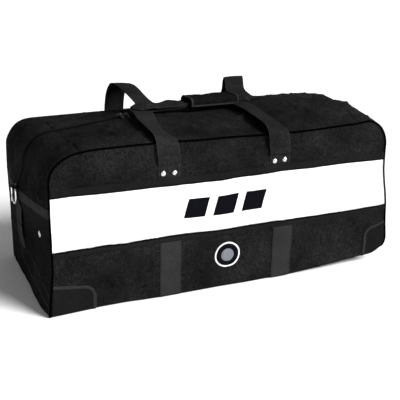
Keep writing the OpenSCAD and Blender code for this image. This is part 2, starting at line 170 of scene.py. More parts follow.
def soft(p):
    """Takes a point of the nominal bag to where the soft bag has it."""
    p = np.array(p, float).reshape(-1, 3)
    x, y, z = p[:, 0], p[:, 1], p[:, 2]
    d = 2.6 * vnoise(p, 150.0) + 1.3 * vnoise(p, 62.0, 3.3) + 0.5 * vnoise(p, 27.0, 9.1)
    # hardware at the ends and the zip sliders stay where the frame has them
    keep = smooth((np.hypot(y, (z - 200) * 0.6) - 40) / 70) * (np.abs(x) > 430) + (np.abs(x) <= 430)
    keep = keep * smooth((np.hypot(x + 200, y) - 25) / 70 + (z < 330))
    d *= keep[:, None]
    d[:, 2] *= smooth(z / 60)
    # the hinge line of the mouth moves little
    hinge = smooth((390 - np.abs(x)) / 40) * np.exp(-(((z - 390) / 26) ** 2)) * np.exp(-(((np.abs(y) - 212) / 30) ** 2))
    d *= (1 - 0.6 * hinge)[:, None]
    # the top seams rise and sag
    up = smooth((z - 285) / 90)
    front = smooth((-y - 60) / 140)
    back = smooth((y - 60) / 140)
    d[:, 2] += up * (front * seam_dz(x) * (1 - 0.35 * hinge) + back * back_dz(x))
    # panels belly a little
    bx = np.clip(1 - (x / 457) ** 2, 0, 1)
    belly = bx**0.6 * np.sin(np.clip(z / 390, 0, 1) * np.pi) ** 0.8
    d[:, 1] += np.sign(y) * 4.0 * belly * smooth((np.abs(y) - 120) / 90)
    # cloth pulls in beside the straps, and drapes in shallow folds between them
    fold = np.sin((x + 14 * np.sin(z / 70)) / 47.0) * 1.3 + np.sin((x - z * 0.35) / 23.0 + 1.0) * 0.5
    d[:, 1] -= np.sign(y) * fold * smooth((z - 290) / 50) * smooth((np.abs(y) - 170) / 40)
    # lower front corner at the right is lifted, the one at the left spreads
    lift = np.clip((x - 150) / 307, 0, 1) ** 1.25 * (1 - smooth(z / 175)) * smooth((30 - y) / 230)
    d[:, 2] += 25 * lift
    d[:, 0] += 7 * lift
    spread = np.clip((-x - 330) / 127, 0, 1) * (1 - smooth(z / 140)) * smooth((-y + 60) / 240)
    d[:, 1] -= 9 * spread
    d[:, 0] -= 13 * spread
    d[:, 0] += shift_x(x, z) * smooth((-y - 100) / 100)
    # the lower right front corner is worn round, and the right end swells low down
    worn = np.clip((x - 415) / 42, 0, 1) ** 2 * np.clip((38 - z) / 38, 0, 1) ** 2 * smooth((-y - 60) / 120)
    d[:, 2] += 15 * worn
    d[:, 0] -= 5 * worn
    d[:, 0] += 8 * np.clip((x - 380) / 77, 0, 1) * np.clip(z / 40, 0, 1) * (1 - smooth((z - 150) / 110)) * smooth((-y + 40) / 160)
    q = p + d
    q[:, 2] = np.where(p[:, 2] > -0.5, np.maximum(q[:, 2], 0.15 + 0.0 * z), q[:, 2])
    return q


def round_in(z, r=7.0):
    zz = np.clip(z, 0, r)
    return r - np.sqrt(np.maximum(r * r - (r - zz) ** 2, 0))


def panel(side):
    """Map of a front (-1) or back (+1) panel: (x, outward, z) -> the bag."""

    def f(q):
        q = np.asarray(q, float).reshape(-1, 3)
        x, o, z = q[:, 0], q[:, 1], q[:, 2]
        n = np.clip((7 - z) / 7, 0, 1)
        cosn = np.sqrt(1 - n * n)
        o = o + creases(x, z + 900 * side, smooth((452 - np.abs(x)) / 30) * smooth(z / 40) * smooth((372 - z) / 30) * (0.35 + 0.65 * smooth((z - 300) / 20)))
        y = side * (HY - round_in(z) + o * cosn)
        zz = z - o * n
        return soft(np.stack([x, y, np.maximum(zz, 0.1)], 1))

    return f


front, back = panel(-1), panel(+1)


def band(q):
    """Map of the strip over the ends and top: (s, y, outward) -> the bag. s = 0 at the middle of the top."""
    q = np.asarray(q, float).reshape(-1, 3)
    s, y, o = q[:, 0], q[:, 1], q[:, 2]
    a = np.abs(s)
    sg = np.where(s < 0, -1.0, 1.0)
    k = np.where(s < 0, crown_l(a), crown_r(a))
    t = np.clip(np.abs(y) / HI, 0, 1.02)
    h = o + k * (0.55 * (1 - t) + 0.45 * (1 - t * t))
    h = h + creases(s, y, smooth((np.abs(y) - 22) / 25) * smooth((205 - np.abs(y)) / 25) * (1.35 - smooth((a - 540) / 30) * 0.8))
    h = h + pulls(s, y)
    # the zip lies in a valley where the cloth is full, wider where the slider stops when open
    rise = np.maximum(h - o - 23.2, 0) * (a < 500)
    valley = np.exp(-((y / 11.0) ** 4)) * smooth((s - 40) / 60) * smooth((470 - s) / 60)
    stop = smooth((46 - np.abs(y)) / 14) * smooth((s - SLIDE_X + 62) / 30) * smooth((SLIDE_X + 62 - s) / 30)
    h = h - rise * np.maximum(valley, stop)
    ang = np.clip((a - S_TOP) / R, 0, math.pi / 2)
    px = np.where(a < S_TOP, a, CX + R * np.sin(ang))
    pz = np.where(a < S_ARC, CZ + R * np.cos(ang), CZ - (a - S_ARC))
    nx, nz = np.sin(ang), np.cos(ang)
    foot = round_in(np.where(a > S_ARC, pz, 99))
    side_in = np.clip((np.abs(y) - 205) / 12, 0, 1) ** 2 * 1.5
    x = sg * (px + nx * (h - side_in) - foot)
    z = pz + nz * (h - side_in)
    return soft(np.stack([x, y, np.maximum(z, 0.1)], 1))


def same(q):
    return np.asarray(q, float).reshape(-1, 3)


# ---------------------------------------------------------------- materials
def nodes_of(name):
    m = bpy.data.materials.new(name)
    m.use_nodes = True
    return m, m.node_tree, m.node_tree.nodes["Principled BSDF"]


def math_node(nt, op, a, b=None, c=None):
    n = nt.nodes.new("ShaderNodeMath")
    n.operation = op
    for i, v in enumerate((a, b, c)):
        if v is None:
            continue
        if isinstance(v, (int, float)):
            n.inputs[i].default_value = v
        else:
            nt.links.new(v, n.inputs[i])
    return n.outputs[0]


def noise(nt, vec, scale, detail=3.0, rough=0.6):
    n = nt.nodes.new("ShaderNodeTexNoise")
    n.inputs["Scale"].default_value = scale
    n.inputs["Detail"].default_value = detail
    n.inputs["Roughness"].default_value = rough
    nt.links.new(vec, n.inputs["Vector"])
    return n.outputs["Fac"]


def spread_to(nt, fac, lo, hi, frm=0.3, to=0.7):
    n = nt.nodes.new("ShaderNodeMapRange")
    n.inputs["From Min"].default_value = frm
    n.inputs["From Max"].default_value = to
    n.inputs["To Min"].default_value = lo
    n.inputs["To Max"].default_value = hi
    nt.links.new(fac, n.inputs["Value"])
    return n.outputs["Result"]


def scaled(nt, rgb, fac):
    n = nt.nodes.new("ShaderNodeMix")
    n.data_type = "RGBA"
    n.blend_type = "MULTIPLY"
    n.inputs["Factor"].default_value = 1.0
    n.inputs["A"].default_value = (*rgb, 1)
    c = nt.nodes.new("ShaderNodeCombineColor")
    for i in range(3):
        nt.links.new(fac, c.inputs[i])
    nt.links.new(c.outputs[0], n.inputs["B"])
    return n.outputs["Result"]


def fabric(name, rgb, weave=1.3, kind="plain", mottle=0.35, crumple=0.5, sheen=0.0, rough=0.85, spec=0.02, wear=0.15, bump=0.5, painted_edge_highlight=0.0):
    """Woven cloth: threads from the uv (in metres), mottled yarn, soft crumples."""
    m, nt, p = nodes_of(name)
    tc = nt.nodes.new("ShaderNodeTexCoord")
    sep = nt.nodes.new("ShaderNodeSeparateXYZ")
    nt.links.new(tc.outputs["UV"], sep.inputs[0])
    u, v = sep.outputs[0], sep.outputs[1]
    k = 2 * math.pi / (weave / 1000)
    if kind == "plain":
        a = math_node(nt, "SINE", math_node(nt, "MULTIPLY", u, k))
        b = math_node(nt, "SINE", math_node(nt, "MULTIPLY", v, k))
        w = math_node(nt, "MULTIPLY", a, b)
    elif kind == "rib":
        a = math_node(nt, "ABSOLUTE", math_node(nt, "SINE", math_node(nt, "MULTIPLY", v, k / 2)))
        b = math_node(nt, "SINE", math_node(nt, "MULTIPLY", u, k * 0.8))
        w = math_node(nt, "MULTIPLY_ADD", b, 0.35, a)
    else:  # twill
        w = math_node(nt, "SINE", math_node(nt, "MULTIPLY", math_node(nt, "ADD", u, v), k))
    pos = tc.outputs["Object"]
    fine = noise(nt, pos, 330.0, 3.0, 0.75)
    mid = noise(nt, pos, 110.0, 3.0, 0.6)
    big = noise(nt, pos, 9.0, 3.0, 0.55)
    f1 = spread_to(nt, fine, 1 - mottle, 1 + mottle, 0.40, 0.60)
    f2 = spread_to(nt, mid, 1 - mottle * 0.4, 1 + mottle * 0.4, 0.36, 0.64)
    f3 = spread_to(nt, big, 1 - wear, 1 + wear)
    f4 = math_node(nt, "MULTIPLY_ADD", w, 0.10, 1.0)
    fac = math_node(nt, "MULTIPLY", math_node(nt, "MULTIPLY", f1, f2), math_node(nt, "MULTIPLY", f3, f4))
    if painted_edge_highlight:  # webbing: painted highlight, the colour is lighter towards the woven edges where light would catch them
        fac = math_node(nt, "MULTIPLY", fac, spread_to(nt, math_node(nt, "ABSOLUTE", v), 1.0, 1.9, painted_edge_highlight - 0.0026, painted_edge_highlight - 0.0012))
    nt.links.new(scaled(nt, rgb, fac), p.inputs["Base Color"])
    nt.links.new(spread_to(nt, mid, rough - 0.08, min(rough + 0.1, 1.0)), p.inputs["Roughness"])
    p.inputs["Specular IOR Level"].default_value = spec
    p.inputs["Sheen Weight"].default_value = sheen
    p.inputs["Sheen Roughness"].default_value = 0.45
    b1 = nt.nodes.new("ShaderNodeBump")
    b1.inputs["Strength"].default_value = crumple
    b1.inputs["Distance"].default_value = 0.006
    cr = math_node(nt, "ADD", noise(nt, pos, 18.0, 3.0, 0.55), math_node(nt, "MULTIPLY", noise(nt, pos, 52.0, 3.0, 0.6), 0.45))
    nt.links.new(cr, b1.inputs["Height"])
    b2 = nt.nodes.new("ShaderNodeBump")
    b2.inputs["Strength"].default_value = bump
    b2.inputs["Distance"].default_value = 0.00035
    nt.links.new(math_node(nt, "MULTIPLY_ADD", fine, 0.8, w), b2.inputs["Height"])
    nt.links.new(b1.outputs["Normal"], b2.inputs["Normal"])
    nt.links.new(b2.outputs["Normal"], p.inputs["Normal"])
    return m


def hard(name, rgb, rough=0.35, metal=0.0, spec=0.5, scratch=0.15, bump=0.15, vary=0.15):
    m, nt, p = nodes_of(name)
    tc = nt.nodes.new("ShaderNodeTexCoord")
    pos = tc.outputs["Object"]
    n1 = noise(nt, pos, 300.0, 4.0, 0.7)
    n2 = noise(nt, pos, 40.0, 3.0, 0.6)
    nt.links.new(scaled(nt, rgb, spread_to(nt, n2, 1 - vary, 1 + vary)), p.inputs["Base Color"])
    nt.links.new(spread_to(nt, n1, max(rough - scratch * 0.5, 0.04), rough + scratch), p.inputs["Roughness"])
    p.inputs["Metallic"].default_value = metal
    p.inputs["Specular IOR Level"].default_value = spec
    b = nt.nodes.new("ShaderNodeBump")
    b.inputs["Strength"].default_value = bump
    b.inputs["Distance"].default_value = 0.0002
    nt.links.new(n1, b.inputs["Height"])
    nt.links.new(b.outputs["Normal"], p.inputs["Normal"])
    return m


M = {
    "canvas": fabric("bag_canvas", (0.0099, 0.0099, 0.0100), mottle=0.6, crumple=1.0, wear=0.5, bump=0.8, sheen=0.0),
    "lining": fabric("bag_lining", (0.022, 0.022, 0.023), weave=1.0, mottle=0.15, crumple=0.3, kind="twill"),
    "stripe": fabric("stripe_cloth", (0.86, 0.86, 0.86), weave=0.9, mottle=0.03, crumple=0.22, sheen=0.0, wear=0.015, rough=0.7, bump=0.2),
    "trim": fabric("trim_webbing", (0.0078, 0.0078, 0.0080), weave=2.2, kind="rib", mottle=0.25, crumple=0.2, rough=0.8),
    "bind": fabric("patch_binding_web", (0.020, 0.020, 0.0204), weave=2.0, kind="rib", mottle=0.25, crumple=0.15, rough=0.8),
    "edge": fabric("binding_tape", (0.002, 0.002, 0.0021), weave=1.4, kind="rib", mottle=0.2, crumple=0.15),
    "webbing": fabric("handle_webbing", (0.0098, 0.0098, 0.0100), weave=2.6, kind="rib", mottle=0.45, crumple=0.35, wear=0.3, rough=0.8, spec=0.03, painted_edge_highlight=0.028),
    "end_web": fabric("end_webbing_cloth", (0.026, 0.026, 0.0263), weave=2.4, kind="rib", mottle=0.25, crumple=0.2, rough=0.8, painted_edge_highlight=0.024),
    # the welt colour is lighter than the canvas: a painted highlight along the raised end seams
    "welt": fabric("end_welt_painted_highlight", (0.030, 0.030, 0.0303), weave=1.4, kind="rib", mottle=0.3, crumple=0.1, rough=0.8),
    "base_web": fabric("base_webbing_cloth", (0.0185, 0.0185, 0.0188), weave=2.6, kind="rib", mottle=0.16, crumple=0.15, rough=0.8),
    "patch": fabric("patch_cloth", (0.0062, 0.0062, 0.0064), weave=1.8, kind="twill", mottle=0.3, crumple=0.3, rough=0.75, spec=0.03),
    "grip": fabric("grip_cloth", (0.0048, 0.0048, 0.0050), weave=1.2, mottle=0.35, crumple=0.35, rough=0.75),
    "tape": fabric("zip_tape_cloth", (0.0013, 0.0013, 0.0014), weave=1.0, kind="rib", mottle=0.2, crumple=0.1),
    "thread": fabric("thread", (0.008, 0.008, 0.0081), weave=0.6, kind="twill", mottle=0.2, crumple=0.0, rough=0.6),
    "thread_w": fabric("thread_pale", (0.55, 0.55, 0.55), weave=0.6, kind="twill", mottle=0.05, crumple=0.0, rough=0.6),
    "piping": hard("piping_vinyl", (0.0006, 0.0006, 0.0006), rough=0.7, spec=0.0),
    "board": fabric("base_board_cover", (0.013, 0.013, 0.0135), weave=1.0, mottle=0.2, crumple=0.15),
    "teeth": hard("zip_teeth_nylon", (0.001, 0.001, 0.0011), rough=0.55, spec=0.03),
    "zipmetal": hard("zip_slider_metal", (0.022, 0.022, 0.024), rough=0.4, metal=0.7, spec=0.2),
    "chrome": hard("bright_steel", (0.80, 0.81, 0.83), rough=0.16, metal=1.0, bump=0.05, scratch=0.08, vary=0.05),
    "rivet": hard("rivet_bright", (0.86, 0.87, 0.89), rough=0.24, metal=1.0, bump=0.05, scratch=0.08, vary=0.05),
    # near-black disc inside each eyelet: painted shade for the hole's shaded inside
    "hole": hard("eyelet_hole_painted_shade", (0.004, 0.004, 0.004), rough=0.8, spec=0.05),
    "ink": fabric("print_dark", (0.0028, 0.0030, 0.0048), weave=0.9, mottle=0.1, crumple=0.22, sheen=0.0, rough=0.6),
    "ink_grey": fabric("print_grey", (0.16, 0.17, 0.19), weave=0.9, mottle=0.1, crumple=0.2, sheen=0.0, rough=0.6),
    "ink_white": fabric("print_white", (0.75, 0.75, 0.75), weave=0.9, mottle=0.05, crumple=0.2, sheen=0.0, rough=0.6),
}


# ------------------------------------------------------------ mesh builders
def new_mesh(name, verts_mm, faces, mats, face_mat=None, uv=None, smooth_faces=True):
    me = bpy.data.meshes.new(name)
    me.from_pydata([tuple(v) for v in (np.asarray(verts_mm, float) / 1000.0)], [], faces)
    for m in mats:
        me.materials.append(M[m])
    if face_mat is not None:
        me.polygons.foreach_set("material_index", np.asarray(face_mat, np.int32))
    me.polygons.foreach_set("use_smooth", [smooth_faces] * len(me.polygons))
    if uv is not None:
        layer = me.uv_layers.new(name="UVMap")
        idx = np.empty(len(me.loops), np.int32)
        me.loops.foreach_get("vertex_index", idx)
        layer.data.foreach_set("uv", np.asarray(uv, float)[idx].ravel() / 1000.0)
    me.update()
    ob = bpy.data.objects.new(name, me)
    bpy.context.scene.collection.objects.link(ob)
    return ob


def sheet_mesh(name, grid, f, mats, thick=2.4, uv=None, out=1, rim_mat=0, rim_ends=0):
    """A cloth panel with two faces and closed edges. grid (n, m, 3) is in f's own
    coordinates with the outer face; the inner face is thick mm behind it."""
    n, m = grid.shape[:2]
    a = f(grid.reshape(-1, 3)).reshape(n, m, 3)
    du = np.gradient(a, axis=0)
    dv = np.gradient(a, axis=1)
    nn = np.cross(du, dv) * out
    nn /= np.maximum(np.linalg.norm(nn, axis=2, keepdims=True), 1e-9)
    b = a - nn * thick
    verts = np.concatenate([a.reshape(-1, 3), b.reshape(-1, 3)])
    k = n * m
    idx = np.arange(k).reshape(n, m)
    q = np.stack([idx[:-1, :-1], idx[1:, :-1], idx[1:, 1:], idx[:-1, 1:]], -1).reshape(-1, 4)
    outer = q if out > 0 else q[:, ::-1]
    inner = (q[:, ::-1] if out > 0 else q) + k
    rim = list(idx[:, 0]) + list(idx[-1, 1:]) + list(idx[:-1, -1][::-1]) + list(idx[0, 1:-1][::-1])
    edge = []
    for i in range(len(rim)):
        r0, r1 = rim[i], rim[(i + 1) % len(rim)]
        e = [r0, r1, r1 + k, r0 + k]
        edge.append(e if out < 0 else e[::-1])
    faces = outer.tolist() + inner.tolist() + [[int(x) for x in e] for e in edge]
    fm = [0] * len(outer) + [min(1, len(mats) - 1)] * len(inner) + [rim_mat] * (n - 1) + [rim_ends] * (m - 1) + [rim_mat] * (n - 1) + [rim_ends] * (m - 1)
    if uv is None:
        g = grid.reshape(-1, 3)
        uv = g[:, [0, 2]] if np.ptp(g[:, 1]) < 30 and np.ptp(g[:, 2]) > 1 else g[:, [0, 1]]
    ob = new_mesh(name, verts, faces, mats, fm, np.concatenate([uv, uv]))
    # the cut edge is flat, so that the panel's shading runs on to the seam
    ob.data.polygons.foreach_set("use_smooth", [True] * (2 * len(outer)) + [False] * len(edge))
    return ob


def web_profile(w, t, r=None):
    """Cross-section of webbing: w wide, t thick, from 0 to t, edges rounded."""
    r = r or t * 0.45
    pts = []
    for cx, cy, a0 in ((w / 2 - r, t - r, 0), (-w / 2 + r, t - r, 90), (-w / 2 + r, r, 180), (w / 2 - r, r, 270)):
        for k in range(4):
            a = math.radians(a0 + k * 30)
            pts.append((cx + r * math.cos(a), cy + r * math.sin(a)))
    # a few points across the faces, so that wide webbing bends with what it lies on
    out = []
    for i, p in enumerate(pts):
        q = pts[(i + 1) % len(pts)]
        out.append(p)
        gap = math.hypot(q[0] - p[0], q[1] - p[1])
        if gap > 6:
            k = int(gap // 6)
            for j in range(1, k + 1):
                out.append((p[0] + (q[0] - p[0]) * j / (k + 1), p[1] + (q[1] - p[1]) * j / (k + 1)))
    return np.array(out)


def round_profile(r, n=12, ry=None):
    a = np.linspace(0, 2 * math.pi, n, endpoint=False)
    return np.stack([r * np.cos(a), (ry or r) * np.sin(a)], 1)


def sweep(name, path, side, up, prof, f, mats, closed=False, twist=None):
    """prof (side, up) run along path, in f's own coordinates."""
    path, side, up = (np.asarray(v, float) for v in (path, side, up))
    n, k = len(path), len(prof)
    side = np.broadcast_to(side, path.shape)
    up = np.broadcast_to(up, path.shape)
    v = path[:, None, :] + prof[None, :, 0, None] * side[:, None, :] + prof[None, :, 1, None] * up[:, None, :]
    verts = f(v.reshape(-1, 3))
    faces = []
    for i in range(n if closed else n - 1):
        a, b = i * k, ((i + 1) % n) * k
        for j in range(k):
            j2 = (j + 1) % k
            faces.append([a + j, a + j2, b + j2, b + j])
    if not closed:
        faces.append(list(range(k))[::-1])
        faces.append([(n - 1) * k + j for j in range(k)])
    ln = np.concatenate([[0], np.cumsum(np.linalg.norm(np.diff(path, axis=0), axis=1))])
    u = np.repeat(ln, k)
    w = np.tile(prof[:, 0] + 0 * prof[:, 1], n)
    ob = new_mesh(name, verts, faces, mats, None, np.stack([u, w], 1))
    fix_normals(ob)
    return ob


def fix_normals(ob):
    bm = bmesh.new()
    bm.from_mesh(ob.data)
    bmesh.ops.recalc_face_normals(bm, faces=bm.faces)
    bm.to_mesh(ob.data)
    bm.free()


def line(a, b, step=6.0):
    a, b = np.asarray(a, float), np.asarray(b, float)
    n = max(2, int(np.linalg.norm(b - a) / step) + 1)
    return a + (b - a) * np.linspace(0, 1, n)[:, None]


def spline(pts, step=5.0):
    """A smooth path through pts (Catmull-Rom), cut into even steps."""
    p = np.asarray(pts, float)
    q = np.concatenate([[2 * p[0] - p[1]], p, [2 * p[-1] - p[-2]]])
    out = []
    for i in range(1, len(q) - 2):
        t = np.linspace(0, 1, 16, endpoint=False)[:, None]
        out.append(
            0.5 * (2 * q[i] + (q[i + 1] - q[i - 1]) * t + (2 * q[i - 1] - 5 * q[i] + 4 * q[i + 1] - q[i + 2]) * t**2 + (3 * q[i] - q[i - 1] - 3 * q[i + 1] + q[i + 2]) * t**3)
        )
    out = np.concatenate(out + [p[-1:]])
    ln = np.concatenate([[0], np.cumsum(np.linalg.norm(np.diff(out, axis=0), axis=1))])
    k = max(2, int(ln[-1] / step) + 1)
    at = np.linspace(0, ln[-1], k)
    return np.stack([np.interp(at, ln, out[:, i]) for i in range(out.shape[1])], 1)


def lathe(name, prof, place, mats, n=28):
    """prof (radius, height) turned round Z, then put in place by a 4x4 in mm."""
    prof = np.asarray(prof, float)
    a = np.linspace(0, 2 * math.pi, n, endpoint=False)
    v = np.stack([np.outer(np.cos(a), prof[:, 0]), np.outer(np.sin(a), prof[:, 0]), np.broadcast_to(prof[:, 1], (n, len(prof)))], -1)
    k = len(prof)
    faces = []
    for i in range(n):
        a0, b0 = i * k, ((i + 1) % n) * k
        for j in range(k - 1):
            faces.append([a0 + j, b0 + j, b0 + j + 1, a0 + j + 1])
    pts = v.reshape(-1, 3)
    pts = np.array([list(place @ Vector(p)) for p in pts])
    ob = new_mesh(name, pts, faces, mats, None, np.stack([pts[:, 0] + pts[:, 1], pts[:, 2]], 1))
    bm = bmesh.new()
    bm.from_mesh(ob.data)
    bmesh.ops.remove_doubles(bm, verts=bm.verts, dist=1e-6)
    bmesh.ops.recalc_face_normals(bm, faces=bm.faces)
    bm.to_mesh(ob.data)
    bm.free()
    return ob


def join(name, obs):
    keep = obs[0]
    with bpy.context.temp_override(active_object=keep, selected_editable_objects=obs, selected_objects=obs, object=keep):
        bpy.ops.object.join()
    keep.name = name
    keep.data.name = name
    return keep


def block(name, lo, hi, mats, bevel=0.8, seg=3, f=same, cuts=0):
    """A bevelled block in mesh code."""
    bm = bmesh.new()
    lo, hi = np.asarray(lo, float), np.asarray(hi, float)
    bmesh.ops.create_cube(bm, size=1.0)
    for v in bm.verts:
        c = (np.array(v.co) + 0.5) * (hi - lo) + lo
        v.co = Vector(c)
    bmesh.ops.bevel(bm, geom=list(bm.edges), offset=bevel, segments=seg, affect="EDGES", profile=0.6)
    if cuts:
        bmesh.ops.subdivide_edges(bm, edges=[e for e in bm.edges if e.calc_length() > 12], cuts=cuts, use_grid_fill=True)
    pts = f(np.array([list(v.co) for v in bm.verts]))
    for v, p in zip(bm.verts, pts):
        v.co = Vector(p / 1000.0)
    me = bpy.data.meshes.new(name)
    bm.normal_update()
    uvl = bm.loops.layers.uv.new("UVMap")
    for fc in bm.faces:
        for lp in fc.loops:
            c = lp.vert.co
            lp[uvl].uv = (c.x + 0.3 * c.y, c.z + 0.7 * c.y)
        fc.smooth = True
    bm.to_mesh(me)
    bm.free()
    for m in mats:
        me.materials.append(M[m])
    ob = bpy.data.objects.new(name, me)
    bpy.context.scene.collection.objects.link(ob)
    return ob


def stitches(name, paths, f, mat="thread", up=(0, 1, 0), pitch=4.2, length=2.9, r=0.42):
    """Rows of thread: short rounded dashes that stand a little out of the cloth."""
    verts, faces = [], []
    up = np.asarray(up, float)
    for path in paths:
        path = np.asarray(path, float)
        ln = np.concatenate([[0], np.cumsum(np.linalg.norm(np.diff(path, axis=0), axis=1))])
        total = ln[-1]
        for c in np.arange(pitch / 2, total - pitch / 3, pitch):
            at = lambda t: np.array([np.interp(t, ln, path[:, i]) for i in range(3)])
            p0, p1 = at(c - length / 2), at(c + length / 2)
            d = p1 - p0
            nd = np.linalg.norm(d)
            if nd < 1e-6:
                continue
            d /= nd
            sd = np.cross(d, up)
            sd /= max(np.linalg.norm(sd), 1e-9)
            base = len(verts)
            for t, s in ((0, 0.35), (0.2, 0.95), (0.5, 1.1), (0.8, 0.95), (1, 0.35)):
                q = p0 + (p1 - p0) * t
                for a in (0, 60, 120, 180):
                    ca, sa = math.cos(math.radians(a)), math.sin(math.radians(a))
                    verts.append(q + sd * ca * r * s + up * (sa * r * s + (0.0 if t not in (0, 1) else -0.3)))
            for i in range(4):
                for j in range(3):
                    b0 = base + i * 4 + j
                    faces.append([b0, b0 + 1, b0 + 5, b0 + 4])
    v = f(np.array(verts))
    ob = new_mesh(name, v, faces, [mat], None, v[:, [0, 2]])
    fix_normals(ob)
    return ob


def ride(ob, body, *nodes, slot=None):
    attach(ob, body)
    if nodes:
        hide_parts(*nodes)
    return ob


# ----------------------------------------------------------- front and back
xs_edge = np.sort(np.concatenate([np.linspace(-CX, CX, 111), CX + R * np.sin(np.linspace(0, math.pi / 2, 14))[1:], -CX - R * np.sin(np.linspace(0, math.pi / 2, 14))[1:]]))


def top_of(x):
    a = np.abs(x)
    return np.where(a < CX, HT, CZ + np.sqrt(np.maximum(R * R - (a - CX) ** 2, 0)))


def panel_grid(z0, z1, rows, shaped=False):
    zz = np.linspace(0, 1, rows)
    g = np.zeros((len(xs_edge), rows, 3))
    for i, x in enumerate(xs_edge):
        hi = top_of(x) if shaped else z1
        g[i, :, 0] = x
        g[i, :, 2] = z0 + (hi - z0) * zz
    return g


def low_grid():
    zz = np.concatenate([[0, 0.7, 1.7, 3.2, 5.0, 7.0, 12], np.linspace(18, 158, 26)])
    g = np.zeros((len(xs_edge), len(zz), 3))
    g[:, :, 0] = xs_edge[:, None]
    g[:, :, 2] = zz[None, :]
    return g


